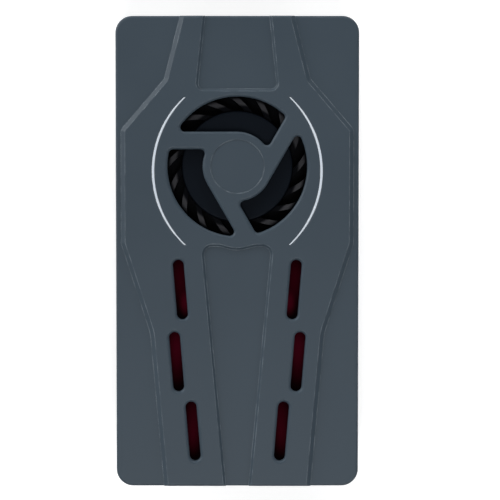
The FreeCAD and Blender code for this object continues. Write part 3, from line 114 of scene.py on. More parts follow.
def lamp(name, azimuth, elevation, size, power, mirrored=True):
    """A square soft lamp that points at the body; mirrored says whether gloss shows it."""
    turn = math.radians(azimuth)
    rise = math.radians(elevation)
    flat = math.cos(rise)
    place = lamp_distance * Vector((flat * math.cos(turn), flat * math.sin(turn), math.sin(rise)))
    data = bpy.data.lights.new(name, "AREA")
    data.shape = "SQUARE"
    data.size = size
    data.energy = power
    stand = bpy.data.objects.new(name, data)
    stand.location = place
    stand.rotation_euler = place.to_track_quat("Z", "Y").to_euler()
    stand.visible_glossy = mirrored
    scene.collection.objects.link(stand)
    return stand


lamps = [  # name, azimuth and elevation in degrees, size in metres, power in watts
    lamp("key_lamp", 149, 19, 1.2, 25),
    lamp("end_lamp", 88, 16, 0.8, 10, mirrored=False),
    lamp("end_gleam", 72, 19, 0.8, 10),
    lamp("right_lamp", -35, 20, 0.7, 8, mirrored=False),
    lamp("left_lamp", 205, 20, 0.7, 4, mirrored=False),
    lamp("low_lamp", -85, 64, 0.7, 12),
]
print("lamps", [(stand.name, stand.data.energy) for stand in lamps])

# %% White where one looks at it
mirrored_share = 0.4  # how much of the white a mirror shows


def seen_directly(tree):
    """One where the camera or a clear piece looks at the surface, less for a mirror, else zero."""
    ray = tree.nodes.new("ShaderNodeLightPath")
    glossy = tree.nodes.new("ShaderNodeMath")
    glossy.operation = "MULTIPLY_ADD"
    glossy.inputs[1].default_value = mirrored_share
    clear = tree.nodes.new("ShaderNodeMath")
    clear.operation = "MAXIMUM"
    tree.links.new(ray.outputs["Is Glossy Ray"], glossy.inputs[0])
    tree.links.new(ray.outputs["Is Camera Ray"], glossy.inputs[2])
    tree.links.new(glossy.outputs[0], clear.inputs[0])
    tree.links.new(ray.outputs["Is Transmission Ray"], clear.inputs[1])
    return clear.outputs[0]


# %% White surroundings
world = bpy.data.worlds.new("plain_studio")
scene.world = world
world.use_nodes = True
room = world.node_tree
surround = room.nodes["Background"]
surround.inputs["Color"].default_value = (0.92, 0.96, 1.0, 1)
surround.inputs["Strength"].default_value = 0.14
backdrop = room.nodes.new("ShaderNodeBackground")
backdrop.inputs["Color"].default_value = (1, 1, 1, 1)
choice = room.nodes.new("ShaderNodeMixShader")
room.links.new(seen_directly(room), choice.inputs[0])
room.links.new(surround.outputs[0], choice.inputs[1])
room.links.new(backdrop.outputs[0], choice.inputs[2])
room.links.new(choice.outputs[0], room.nodes["World Output"].inputs["Surface"])
print("surroundings", world.name)

# %% Floor
floor_reach = 1.3  # in metres, from the middle to each side
floor_own_light = 0.5

floor_mesh = bpy.data.meshes.new("floor")
floor_shape = bmesh.new()
bmesh.ops.create_grid(floor_shape, x_segments=1, y_segments=1, size=floor_reach)
floor_shape.to_mesh(floor_mesh)
floor_shape.free()
floor = bpy.data.objects.new("floor", floor_mesh)
scene.collection.objects.link(floor)

floor_paint = bpy.data.materials.new("white_floor")
floor_paint.use_nodes = True
paint = floor_paint.node_tree
matt = paint.nodes["Principled BSDF"]
matt.inputs["Base Color"].default_value = (0.8, 0.8, 0.8, 1)
matt.inputs["Roughness"].default_value = 0.9
matt.inputs["Specular IOR Level"].default_value = 0.0
matt.inputs["Emission Color"].default_value = (1, 1, 1, 1)
own_light = paint.nodes.new("ShaderNodeMath")
own_light.operation = "MULTIPLY"
own_light.inputs[1].default_value = floor_own_light
paint.links.new(seen_directly(paint), own_light.inputs[0])
paint.links.new(own_light.outputs[0], matt.inputs["Emission Strength"])
floor_mesh.materials.append(floor_paint)
print("floor", 2 * floor_reach, "m across")

# %% [markdown]
# ## Small helpers for materials
#
# A material here is a few textures on the piece's own coordinates, mapped to the range that the
# finish needs. Every piece keeps its place in its mesh, so Object coordinates are real places in
# metres on the whole product, and a grain that crosses two pieces stays the same size on both.


# %% Node helpers
def connect(tree, value, socket):
    """Links another node's output to a socket, or sets a plain number or colour there."""
    if isinstance(value, bpy.types.NodeSocket):
        tree.links.new(value, socket)
    else:
        socket.default_value = value


def calculate(tree, operation, first, second=0.0):
    """The result of an operation on one or two numbers."""
    node = tree.nodes.new("ShaderNodeMath")
    node.operation = operation
    connect(tree, first, node.inputs[0])
    connect(tree, second, node.inputs[1])
    return node.outputs[0]


def on_vector(tree, operation, first, second, output=0):
    """The same for vectors; output is "Value" where the result is one number."""
    node = tree.nodes.new("ShaderNodeVectorMath")
    node.operation = operation
    connect(tree, first, node.inputs[0])
    connect(tree, second, node.inputs[1])
    return node.outputs[output]


def cloud(tree, place, scale, detail=3.0):
    """A noise texture's value at a place."""
    node = tree.nodes.new("ShaderNodeTexNoise")
    node.inputs["Detail"].default_value = detail
    connect(tree, place, node.inputs["Vector"])
    connect(tree, scale, node.inputs["Scale"])
    return node.outputs[0]


def spread(tree, value, source, target, smooth=False):
    """Maps a value from one range to another and holds it at both ends."""
    node = tree.nodes.new("ShaderNodeMapRange")
    node.interpolation_type = "SMOOTHSTEP" if smooth else "LINEAR"
    connect(tree, value, node.inputs["Value"])
    for label, amount in zip(("From Min", "From Max", "To Min", "To Max"), (*source, *target)):
        connect(tree, amount, node.inputs[label])
    return node.outputs[0]


def blend_colours(tree, share, first, second):
    """Mixes two colours, each three numbers or another node's output."""
    node = tree.nodes.new("ShaderNodeMix")
    node.data_type = "RGBA"
    connect(tree, share, node.inputs[0])
    for socket, colour in ((node.inputs[6], first), (node.inputs[7], second)):
        connect(tree, (*colour, 1) if isinstance(colour, tuple) else colour, socket)
    return node.outputs[2]


# %% Material helpers
def new_material(name, specular=0.5):
    """A material, its node tree, its Principled shader and its Object coordinates."""
    material = bpy.data.materials.new(name)
    material.use_nodes = True
    tree = material.node_tree
    shader = tree.nodes["Principled BSDF"]
    shader.inputs["Specular IOR Level"].default_value = specular
    place = tree.nodes.new("ShaderNodeTexCoord").outputs["Object"]
    return material, tree, shader, place


def set_surface(tree, shader, colour, roughness, height, depth, edge_round=0.0):
    """Links colour, roughness and a bump of a real depth, over softly rounded edges."""
    tree.links.new(colour, shader.inputs["Base Color"])
    tree.links.new(roughness, shader.inputs["Roughness"])
    bump = tree.nodes.new("ShaderNodeBump")
    bump.inputs["Distance"].default_value = depth
    tree.links.new(height, bump.inputs["Height"])
    if edge_round:
        rounded = tree.nodes.new("ShaderNodeBevel")
        rounded.samples = 8
        rounded.inputs["Radius"].default_value = edge_round
        tree.links.new(rounded.outputs["Normal"], bump.inputs["Normal"])
    tree.links.new(bump.outputs["Normal"], shader.inputs["Normal"])


def dress(material, *names):
    """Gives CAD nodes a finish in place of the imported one."""
    for name in names:
        for slot in nodes[name].material_slots:
            slot.material = material
    print(material.name, "on", ", ".join(names))


# %% [markdown]
# ## Effects that several finishes share
#
# Three effects come back in many finishes, so each is a node group, built once and given its own
# sizes in every material:
#
# - mould grain, the fine texture that a spark-eroded mould leaves, with a slow drift of tone;
# - edge wear and painted highlight: a pale tone where hands rub an edge smooth, which also paints the
#   fine light line that an edge catches. The Bevel node's normal leaves the true one near an edge,
#   and noise breaks the line up;
# - a glow spot, a soft round patch of light inside a light bar.


# %% A group's start and its use
def start_group(name, inputs, outputs):
    """A node group, the sockets of its Group Input and those of its Group Output."""
    group = bpy.data.node_groups.new(name, "ShaderNodeTree")
    kinds = {"value": "NodeSocketFloat", "place": "NodeSocketVector"}
    for label, kind in inputs:
        group.interface.new_socket(label, in_out="INPUT", socket_type=kinds[kind])
    for label in outputs:
        group.interface.new_socket(label, in_out="OUTPUT", socket_type="NodeSocketFloat")
    given = group.nodes.new("NodeGroupInput").outputs
    result = group.nodes.new("NodeGroupOutput").inputs
    return group, given, result


def use_group(tree, group, **values):
    """Places a group in a material; a socket's name has underscores for its spaces here."""
    node = tree.nodes.new("ShaderNodeGroup")
    node.node_tree = group
    for label, value in values.items():
        connect(tree, value, node.inputs[label.replace("_", " ")])
    return node.outputs


# %% Mould grain
noise_range = (0.3, 0.7)  # nearly all values of a noise texture lie in it
coarse_against_fine = 0.37  # the coarse grain's scale, as a share of the fine grain's

mould_grain, given, result = start_group(
    "mould_grain",
    [("Place", "place"), ("Grain per metre", "value"), ("Drift per metre", "value")],
    ["Height", "Drift"],
)
fine = cloud(mould_grain, given["Place"], given["Grain per metre"], detail=2.0)
coarse_scale = calculate(mould_grain, "MULTIPLY", given["Grain per metre"], coarse_against_fine)
coarse = cloud(mould_grain, given["Place"], coarse_scale, detail=1.0)
slow = cloud(mould_grain, given["Place"], given["Drift per metre"], detail=4.0)
mould_grain.links.new(calculate(mould_grain, "ADD", fine, coarse), result["Height"])
mould_grain.links.new(spread(mould_grain, slow, noise_range, (0, 1)), result["Drift"])

# %% Edge wear and painted highlight
wear_and_highlight_agreement = (0.997, 0.955)  # the product of the two normals where wear and painted highlight start and are full

edge_wear_and_highlight, given, result = start_group(
    "edge_wear_and_highlight", [("Place", "place"), ("Reach", "value"), ("Patches per metre", "value")], ["Wear"]
)
softened = edge_wear_and_highlight.nodes.new("ShaderNodeBevel")
softened.samples = 4
edge_wear_and_highlight.links.new(given["Reach"], softened.inputs["Radius"])
true_normal = edge_wear_and_highlight.nodes.new("ShaderNodeNewGeometry").outputs["Normal"]
agreement = on_vector(edge_wear_and_highlight, "DOT_PRODUCT", softened.outputs["Normal"], true_normal, "Value")
edge = spread(edge_wear_and_highlight, agreement, wear_and_highlight_agreement, (0, 1))
patches = cloud(edge_wear_and_highlight, given["Place"], given["Patches per metre"], detail=4.0)
broken = spread(edge_wear_and_highlight, patches, (0.42, 0.62), (0.15, 1))
edge_wear_and_highlight.links.new(calculate(edge_wear_and_highlight, "MULTIPLY", edge, broken), result["Wear"])

# %% Glow spot
glow_spot, given, result = start_group(
    "glow_spot", [("Place", "place"), ("Centre", "place"), ("Reach", "value")], ["Glow"]
)
away = on_vector(glow_spot, "DISTANCE", given["Place"], given["Centre"], "Value")
share = calculate(glow_spot, "DIVIDE", away, given["Reach"])
glow_spot.links.new(spread(glow_spot, share, (0, 1), (1, 0), smooth=True), result["Glow"])
print("groups", [group.name for group in bpy.data.node_groups])

# %% [markdown]
# ## Moulded plastic
#
# The cover, the rear shell, the arms, the button, the white strips and a few black pieces are all
# moulded plastic. They differ only in colour, gloss and grain, so one recipe makes them all: two
# near tones that drift, a paler tone on edges that is wear and also a painted highlight, a roughness
# that follows the drift, and the grain as a bump of real depth.

# %% Plastic recipe
wear_and_highlight_reach = 0.4 * mm
wear_and_highlight_share = 0.9  # how far a fully rubbed edge goes to its pale tone, which is wear and a painted highlight
wear_polish = 0.3  # how much smoother it gets
edge_softness = 0.25 * mm


def plastic(name, dark, light, rubbed_and_highlight, gloss, grain=3500.0, depth=0.01 * mm, specular=0.3):
    """Moulded plastic; gloss gives the lowest and the highest roughness."""
    material, tree, shader, place = new_material(name, specular)
    texture = use_group(tree, mould_grain, Place=place, Grain_per_metre=grain, Drift_per_metre=28.0)
    rub_and_highlight = use_group(tree, edge_wear_and_highlight, Place=place, Reach=wear_and_highlight_reach, Patches_per_metre=260.0)
    rub_and_highlight_share = calculate(tree, "MULTIPLY", rub_and_highlight["Wear"], wear_and_highlight_share)
    colour = blend_colours(tree, texture["Drift"], dark, light)
    # Pale edges: real wear, and also a painted highlight for the light line that an edge catches
    colour = blend_colours(tree, rub_and_highlight_share, colour, rubbed_and_highlight)
    polish = calculate(tree, "MULTIPLY", rub_and_highlight_share, wear_polish)
    roughness = calculate(tree, "SUBTRACT", spread(tree, texture["Drift"], (0, 1), gloss), polish)
    set_surface(tree, shader, colour, roughness, texture["Height"], depth, edge_softness)
    return material


# %% Plastic pieces
# The cover's pale edge tone is strong: it is wear and also the painted highlight of the fine light
# lines along its slopes, rims and steps
cover_plastic = plastic(
    "cover_plastic",
    dark=(0.036, 0.052, 0.068),
    light=(0.041, 0.058, 0.075),
    rubbed_and_highlight=(0.18, 0.21, 0.235),
    gloss=(0.42, 0.5),
    specular=0.22,
)
dress(cover_plastic, "front_shell")
rear_plastic = plastic(
    "rear_plastic",
    dark=(0.018, 0.023, 0.029),
    light=(0.022, 0.028, 0.035),
    rubbed_and_highlight=(0.07, 0.08, 0.09),
    gloss=(0.5, 0.62),
)
dress(rear_plastic, "rear_shell")
frame_plastic = plastic(
    "frame_plastic",
    dark=(0.006, 0.007, 0.008),
    light=(0.008, 0.009, 0.011),
    rubbed_and_highlight=(0.03, 0.03, 0.034),
    gloss=(0.45, 0.55),
    grain=2500.0,
    depth=0.006 * mm,
    specular=0.2,
)
dress(frame_plastic, "fan_frame", "clamp_cover", "switch_body", "wire_sockets")
arm_plastic = plastic(
    "arm_plastic",
    dark=(0.024, 0.031, 0.038),
    light=(0.029, 0.037, 0.045),
    rubbed_and_highlight=(0.09, 0.1, 0.11),
    gloss=(0.4, 0.5),
)
dress(arm_plastic, "clamp_arm_left", "clamp_arm_right")
button_plastic = plastic(
    "button_plastic",
    dark=(0.05, 0.062, 0.075),
    light=(0.056, 0.07, 0.084),
    rubbed_and_highlight=(0.13, 0.15, 0.17),
    gloss=(0.4, 0.48),
)
dress(button_plastic, "power_button")
strip_plastic = plastic(
    "strip_plastic",
    dark=(0.60, 0.66, 0.74),
    light=(0.68, 0.74, 0.81),
    rubbed_and_highlight=(0.8, 0.84, 0.88),
    gloss=(0.22, 0.32),
    grain=2500.0,
    depth=0.003 * mm,
)
dress(strip_plastic, "crescent_left", "crescent_right")

# %% [markdown]
# ## The fan
#
# The fan is black plastic deep under the cover, with a tone near zero that paints the shade there.
# Its flat hub looks faintly blue, and its top is painted lighter. A painted highlight lies on the
# upper edges of the blades, most of it halfway out, so pale patches show between black gaps, as on
# blades lit between the shadows of the cover's rim and the hub. Height picks out the hub's top and
# the blades' edges, and the distance from the axis keeps the painted highlight away from the hub and
# from the tips. Both stay right while the fan turns.


# %% Height and distance from the axis
def height_and_radius(tree, place, axis):
    """The height of a place, and its distance from an upright axis."""
    flat = on_vector(tree, "MULTIPLY", on_vector(tree, "SUBTRACT", place, axis), (1, 1, 0))
    parts = tree.nodes.new("ShaderNodeSeparateXYZ")
    tree.links.new(place, parts.inputs[0])
    return parts.outputs["Z"], on_vector(tree, "LENGTH", flat, (0, 0, 0), "Value")


# %% Fan finish
hub_light_fade = (0.3 * mm, 0.1 * mm)  # under the hub's top, where the painted lighter tone of the top starts and is full
blade_highlight_fade = (1.05 * mm, 0.95 * mm)  # the same for the painted highlight on the blades' upper edges
highlight_start = (19.2 * mm, 20.2 * mm)  # distances from the axis where the painted highlight starts and is full
highlight_end = (21.1 * mm, 22.2 * mm)  # and where it thins out and is gone

fan_low, fan_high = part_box("impeller")
fan_axis = Vector(((fan_low.x + fan_high.x) / 2, (fan_low.y + fan_high.y) / 2, 0))
fan_plastic, tree, shader, place = new_material("fan_plastic", specular=0.03)
height, radius = height_and_radius(tree, place, fan_axis)
texture = use_group(tree, mould_grain, Place=place, Grain_per_metre=2500.0, Drift_per_metre=60.0)
lit_hub_top = spread(tree, height, [fan_high.z - under for under in hub_light_fade], (0, 1))
blade_edge = spread(tree, height, [fan_high.z - under for under in blade_highlight_fade], (0, 1))
outward = spread(tree, radius, highlight_start, (0, 1), smooth=True)
inward = spread(tree, radius, highlight_end, (1, 0), smooth=True)
painted_blade_highlight = calculate(tree, "MULTIPLY", blade_edge, calculate(tree, "MULTIPLY", outward, inward))
# Painted shade: a tone near zero for the dark deep under the cover
tone = blend_colours(tree, texture["Drift"], (0.0005, 0.0008, 0.0016), (0.0008, 0.0011, 0.0022))
# Painted highlight on the blades' upper edges, halfway out
tone = blend_colours(tree, painted_blade_highlight, tone, (0.042, 0.042, 0.046))
# Painted light: the hub's top is lighter than the shaded blades
tone = blend_colours(tree, lit_hub_top, tone, (0.0046, 0.0066, 0.0100))
roughness = spread(tree, texture["Drift"], (0, 1), (0.4, 0.5))
set_surface(tree, shader, tone, roughness, texture["Height"], depth=0.004 * mm)
dress(fan_plastic, "impeller")

# %% [markdown]
# ## Red light behind the slots
#
# Each light bar is a strip of red plastic over a small board with six LEDs, two under each slot.
# Its light is dim, so it is nearly black, with a soft red patch in the upper two thirds of the slot
# and a darker lower end. Glow spots make the patches, and they are placed from the middle of each
# slot, because the light spreads inside the bar before it comes out.

# %% Light bars
glow_squeeze = Vector((2, 1, 1))  # a spot is half as wide as it is long
glow_colour = (1.0, 0.03, 0.14)
glow_strength = 0.025
slot_middles = ((18.3, -12.0), (19.6, -35.3), (14.3, -57.8))  # in millimetres, on the right
glow_spots = (  # for each slot: millimetres up, millimetres outward, reach and strength
    ((4.4, 0.2, 8.5, 0.55), (-2.0, -0.5, 7.0, 0.3), (-4.5, -1.6, 5.0, 1.0)),
    ((4.8, 0.0, 8.6, 1.0), (-2.0, -0.2, 7.0, 0.45)),
    ((4.4, -0.2, 8.6, 0.65), (-2.2, 0.0, 7.0, 0.65)),
)


def light_bar(name, side):
    """Dark red plastic with a glow in each slot; side is -1 on the left and 1 on the right."""
    bar_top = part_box(name)[1].z
    material, tree, shader, place = new_material(name, specular=0.0)
    texture = use_group(tree, mould_grain, Place=place, Grain_per_metre=2500.0, Drift_per_metre=60.0)
    body = blend_colours(tree, texture["Drift"], (0.002, 0.0004, 0.0008), (0.003, 0.0005, 0.001))
    roughness = spread(tree, texture["Drift"], (0, 1), (0.4, 0.5))
    set_surface(tree, shader, body, roughness, texture["Height"], depth=0.004 * mm)
    squeezed = on_vector(tree, "MULTIPLY", place, glow_squeeze)
    total = 0.0
    for (x, y), spots in zip(slot_middles, glow_spots):
        for along, across, reach, strength in spots:
            centre = Vector((side * (x + across) * mm, (y + along) * mm, bar_top)) * glow_squeeze
            spot = use_group(tree, glow_spot, Place=squeezed, Centre=centre, Reach=reach * mm)
            part = calculate(tree, "MULTIPLY", spot["Glow"], strength)
            total = calculate(tree, "ADD", total, part)
    glow = blend_colours(tree, total, (0, 0, 0), glow_colour)
    tree.links.new(glow, shader.inputs["Emission Color"])
    shader.inputs["Emission Strength"].default_value = glow_strength
    return material


for name, side in (("light_bar_left", -1), ("light_bar_right", 1)):
    dress(light_bar(name, side), name)

# %% [markdown]
# ## Metal
#
# Rolled, drawn and turned metal all show fine lines one way. Multiplying the place by a different
# number on each axis stretches the noise into such lines, and the lines set the roughness and a
# very shallow bump. A slow cloud adds the stain that bare metal picks up.


# %% Metal recipe
def metal(name, clean, stained, gloss, lines=(1, 1, 1), scale=900.0, depth=0.004 * mm):
    """Bare or plated metal; lines stretches the texture along the axis with the smallest number."""
    material, tree, shader, place = new_material(name)
    shader.inputs["Metallic"].default_value = 1.0
    texture = use_group(tree, mould_grain, Place=place, Grain_per_metre=6000.0, Drift_per_metre=140.0)
    drawn = cloud(tree, on_vector(tree, "MULTIPLY", place, lines), scale, detail=4.0)
    colour = blend_colours(tree, texture["Drift"], clean, stained)
    set_surface(tree, shader, colour, spread(tree, drawn, noise_range, gloss), drawn, depth)
    return material


# %% Metal pieces
screw_steel = metal(
    "screw_steel",
    clean=(0.035, 0.036, 0.04),
    stained=(0.05, 0.05, 0.052),
    gloss=(0.32, 0.48),
    lines=(1, 1, 0.2),
    scale=1500.0,
)
dress(screw_steel, "case_screws", "plate_screws", "cover_screws", "fan_screws", "board_screws")
bright_steel = metal(
    "bright_steel",
    clean=(0.55, 0.55, 0.56),
    stained=(0.42, 0.42, 0.44),
    gloss=(0.16, 0.3),
    lines=(1, 1, 0.1),
)
dress(bright_steel, "rotor_shaft", "pinion_pin", "shaft_clip", "usb_socket")
yoke_steel = metal(
    "yoke_steel",
    clean=(0.35, 0.35, 0.37),
    stained=(0.25, 0.25, 0.27),
    gloss=(0.28, 0.4),
    lines=(0.15, 1, 1),
)
dress(yoke_steel, "rotor_yoke", "stator_core")
plate_aluminium = metal(
    "plate_aluminium",
    clean=(0.62, 0.63, 0.65),
    stained=(0.5, 0.51, 0.53),
    gloss=(0.3, 0.45),
    lines=(1, 0.04, 1),
    scale=1400.0,
)
dress(plate_aluminium, "cooling_plate")
sleeve_bronze = metal(
    "sleeve_bronze", clean=(0.42, 0.24, 0.1), stained=(0.3, 0.17, 0.07), gloss=(0.3, 0.45)
)
dress(sleeve_bronze, "bearing_sleeve")
coil_copper = metal(
    "coil_copper",
    clean=(0.6, 0.22, 0.09),
    stained=(0.45, 0.14, 0.05),
    gloss=(0.2, 0.35),
    lines=(0.1, 0.1, 1),
    scale=4000.0,
    depth=0.03 * mm,
)
dress(coil_copper, "stator_coils")

# %% [markdown]
# ## Boards, chips, leads and the battery
#
# The inner electric pieces show only when the cover is off, but they get true finishes too. A
# board is solder mask over copper lines, which stand a little proud and look lighter. The cell is
# a foil pouch with soft wrinkles, and its black tape is creased.


# %% Circuit boards
def circuit_board(name, mask, track):
    """Solder mask, with nearly straight copper lines that show through it."""
    material, tree, shader, place = new_material(name)
    cells = tree.nodes.new("ShaderNodeTexVoronoi")
    cells.feature = "DISTANCE_TO_EDGE"
    cells.inputs["Randomness"].default_value = 0.35
    cells.inputs["Scale"].default_value = 420.0
    connect(tree, place, cells.inputs["Vector"])
    line = spread(tree, cells.outputs["Distance"], (0.03, 0.09), (1, 0))
    texture = use_group(tree, mould_grain, Place=place, Grain_per_metre=5000.0, Drift_per_metre=80.0)
    colour = blend_colours(tree, line, mask, track)
    roughness = spread(tree, texture["Drift"], (0, 1), (0.28, 0.4))
    set_surface(tree, shader, colour, roughness, line, depth=0.03 * mm)
    return material


green_board = circuit_board("green_board", mask=(0.004, 0.05, 0.018), track=(0.02, 0.12, 0.05))
dress(green_board, "main_board", "motor_board")
black_board = circuit_board("black_board", mask=(0.006, 0.006, 0.007), track=(0.03, 0.028, 0.02))
dress(black_board, "light_board_left", "light_board_right")

# %% Recipe for foil, tape and cast pieces
fold_stretch = (1, 0.6, 1)  # the folds are longer along the body


def wrinkled(name, dark, light, gloss, folds, depth, metallic=0.0):
    """Foil, tape, insulation or a cast piece; folds is the scale of its uneven surface."""
    material, tree, shader, place = new_material(name)
    shader.inputs["Metallic"].default_value = metallic
    crease = cloud(tree, on_vector(tree, "MULTIPLY", place, fold_stretch), folds, detail=6.0)
    texture = use_group(tree, mould_grain, Place=place, Grain_per_metre=5000.0, Drift_per_metre=90.0)
    colour = blend_colours(tree, texture["Drift"], dark, light)
    set_surface(tree, shader, colour, spread(tree, crease, noise_range, gloss), crease, depth)
    return material


# %% Foil, tape and cast pieces
cell_foil = wrinkled(
    "cell_foil",
    dark=(0.55, 0.56, 0.58),
    light=(0.66, 0.67, 0.69),
    gloss=(0.3, 0.5),
    folds=160.0,
    depth=0.15 * mm,
    metallic=0.85,
)
dress(cell_foil, "battery_cell")
cell_tape = wrinkled(
    "cell_tape",
    dark=(0.012, 0.012, 0.013),
    light=(0.018, 0.018, 0.02),
    gloss=(0.5, 0.7),
    folds=500.0,
    depth=0.05 * mm,
)
dress(cell_tape, "battery_tape")
magnet_ferrite = wrinkled(
    "magnet_ferrite",
    dark=(0.025, 0.024, 0.023),
    light=(0.04, 0.038, 0.036),
    gloss=(0.6, 0.8),
    folds=2500.0,
    depth=0.02 * mm,
)
dress(magnet_ferrite, "rotor_magnet")
chip_epoxy = wrinkled(
    "chip_epoxy",
    dark=(0.008, 0.008, 0.009),
    light=(0.013, 0.013, 0.014),
    gloss=(0.4, 0.55),
    folds=3000.0,
    depth=0.01 * mm,
)
dress(chip_epoxy, "board_chips")
white_acetal = wrinkled(
    "white_acetal",
    dark=(0.7, 0.69, 0.65),
    light=(0.78, 0.77, 0.73),
    gloss=(0.3, 0.45),
    folds=2500.0,
    depth=0.006 * mm,
)
dress(white_acetal, "sync_pinion", "thrust_washer", "switch_plunger")
tongue_plastic = wrinkled(
    "tongue_plastic",
    dark=(0.01, 0.01, 0.011),
    light=(0.015, 0.015, 0.016),
    gloss=(0.35, 0.5),
    folds=2500.0,
    depth=0.006 * mm,
)
dress(tongue_plastic, "usb_tongue")
lead_cover = wrinkled(
    "lead_cover",
    dark=(0.28, 0.012, 0.01),
    light=(0.36, 0.016, 0.014),
    gloss=(0.32, 0.45),
    folds=900.0,
    depth=0.02 * mm,
)
dress(lead_cover, "battery_wires", "fan_wires", "light_wires_left", "light_wires_right")

# %% LEDs: a moulded lens with its light behind it, in uneven patches
led_lens, tree, shader, place = new_material("led_lens")
texture = use_group(tree, mould_grain, Place=place, Grain_per_metre=5000.0, Drift_per_metre=900.0)
resin = blend_colours(tree, texture["Drift"], (0.8, 0.78, 0.7), (0.85, 0.84, 0.8))
roughness = spread(tree, texture["Drift"], (0, 1), (0.25, 0.4))
set_surface(tree, shader, resin, roughness, texture["Height"], depth=0.003 * mm)
glow = blend_colours(tree, texture["Drift"], (0, 0, 0), (1.0, 0.03, 0.05))
tree.links.new(glow, shader.inputs["Emission Color"])
shader.inputs["Emission Strength"].default_value = 0.6
dress(led_lens, "light_leds_left", "light_leds_right")

# %% [markdown]
# ## Soft rubber
#
# The feet, the jaw pads and the pad on the cooling plate are soft. Rubber is matt, nearly free of
# grain, and carries dust in its hollows, so it has a pale dust tone that a cloud spreads unevenly.
# The pad on the plate is softer still and shows the print of a woven liner.

# %% Matt rubber with a little dust on it
foot_rubber, tree, shader, place = new_material("foot_rubber", specular=0.3)
texture = use_group(tree, mould_grain, Place=place, Grain_per_metre=2200.0, Drift_per_metre=45.0)
specks = spread(tree, cloud(tree, place, scale=1600.0, detail=2.0), (0.62, 0.72), (0, 0.35))
tone = blend_colours(tree, texture["Drift"], (0.012, 0.012, 0.013), (0.018, 0.018, 0.02))
tone = blend_colours(tree, specks, tone, (0.12, 0.12, 0.12))
roughness = spread(tree, texture["Drift"], (0, 1), (0.68, 0.82))
set_surface(tree, shader, tone, roughness, texture["Height"], depth=0.02 * mm)
print(foot_rubber.name, len(tree.nodes), "nodes")

# %% Silicone with the print of a woven liner: low bumps where two crossed waves meet
liner_wave = 0.9 * mm  # one full wave, which makes two bumps
print_shade = 0.25  # how far a bump goes to the dark tone
silicone_dark = (0.24, 0.26, 0.28)

pad_silicone, tree, shader, place = new_material("pad_silicone", specular=0.4)
parts = tree.nodes.new("ShaderNodeSeparateXYZ")
tree.links.new(place, parts.inputs[0])
waves = []
for axis in ("X", "Y"):
    turns = calculate(tree, "MULTIPLY", parts.outputs[axis], 2 * math.pi / liner_wave)
    waves.append(calculate(tree, "ABSOLUTE", calculate(tree, "SINE", turns)))
weave = calculate(tree, "MULTIPLY", waves[0], waves[1])
texture = use_group(tree, mould_grain, Place=place, Grain_per_metre=3000.0, Drift_per_metre=60.0)
tone = blend_colours(tree, texture["Drift"], silicone_dark, (0.3, 0.32, 0.34))
shade = calculate(tree, "MULTIPLY", weave, print_shade)
tone = blend_colours(tree, shade, tone, silicone_dark)
roughness = spread(tree, weave, (0, 1), (0.5, 0.66))
set_surface(tree, shader, tone, roughness, weave, depth=0.04 * mm)
print(pad_silicone.name, len(tree.nodes), "nodes")

# %% [markdown]
# ## A soft block and how it becomes a piece
#
# Feet, pads and ribs are all low blocks with rounded corners and a soft lower rim. A grid face is
# given round corners by a vertex bevel, extruded down, and its lower rim is bevelled. Joining the
# doubles and turning the faces outward comes last, and the object stays at the origin because the
# block is moved to its place in the mesh.


# %% A soft block
def round_off(shape, parts, offset, segments, affect):
    """Rounds vertices or edges; affect is VERTICES or EDGES."""
    bmesh.ops.bevel(
        shape,
        geom=parts,
        offset=offset,
        segments=segments,
        profile=0.5,
        affect=affect,
        material=-1,
    )


def extrude_down(shape, depth):
    """Makes a flat shape thick downwards and returns its lower vertices."""
    grown = bmesh.ops.extrude_face_region(shape, geom=shape.faces[:], use_keep_orig=True)
    lower = {part for part in grown["geom"] if isinstance(part, bmesh.types.BMVert)}
    bmesh.ops.translate(shape, verts=list(lower), vec=(0, 0, -depth))
    return lower


def soft_block(width, length, height, corner, rim, steps=6):
    """A block centred on the origin, its flat top at z = 0 and its soft rim below."""
    shape = bmesh.new()
    bmesh.ops.create_grid(shape, x_segments=1, y_segments=1, size=0.5)
    bmesh.ops.scale(shape, vec=(width, length, 1), verts=shape.verts)
    round_off(shape, shape.verts[:], corner, segments=steps, affect="VERTICES")
    lower = extrude_down(shape, height)
    lower_edges = [edge for edge in shape.edges if set(edge.verts) <= lower]
    round_off(shape, lower_edges, rim, segments=3, affect="EDGES")
    return shape


def lowest_face(shape):
    """The largest of the lowest faces."""
    return min(shape.faces, key=lambda face: (face.calc_center_median().z, -face.calc_area()))


# %% From a shape to a piece
weld_distance = 0.0005 * mm
smooth_angle = math.radians(40)


def moved_into(target, shape, matrix):
    """Adds a shape to another one at a new place and frees it."""
    bmesh.ops.transform(shape, matrix=matrix, verts=shape.verts)
    carrier = bpy.data.meshes.new("carrier")
    shape.to_mesh(carrier)
    shape.free()
    target.from_mesh(carrier)
    bpy.data.meshes.remove(carrier)


def make_piece(name, shape, material, body, replaced=()):
    """Turns a bmesh into an object on a body; replaced names the CAD nodes it stands for."""
    bmesh.ops.remove_doubles(shape, verts=shape.verts, dist=weld_distance)
    bmesh.ops.recalc_face_normals(shape, faces=shape.faces)
    open_edges = sum(edge.is_boundary for edge in shape.edges)
    mesh = bpy.data.meshes.new(name)
    shape.to_mesh(mesh)
    shape.free()
    mesh.materials.append(material)
    mesh.shade_smooth()
    mesh.set_sharp_from_angle(angle=smooth_angle)
    piece = bpy.data.objects.new(name, mesh)
    scene.collection.objects.link(piece)
    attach(piece, body)
    if replaced:
        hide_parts(*replaced)
    print(name, len(mesh.polygons), "faces,", open_edges, "open edges")
    return piece


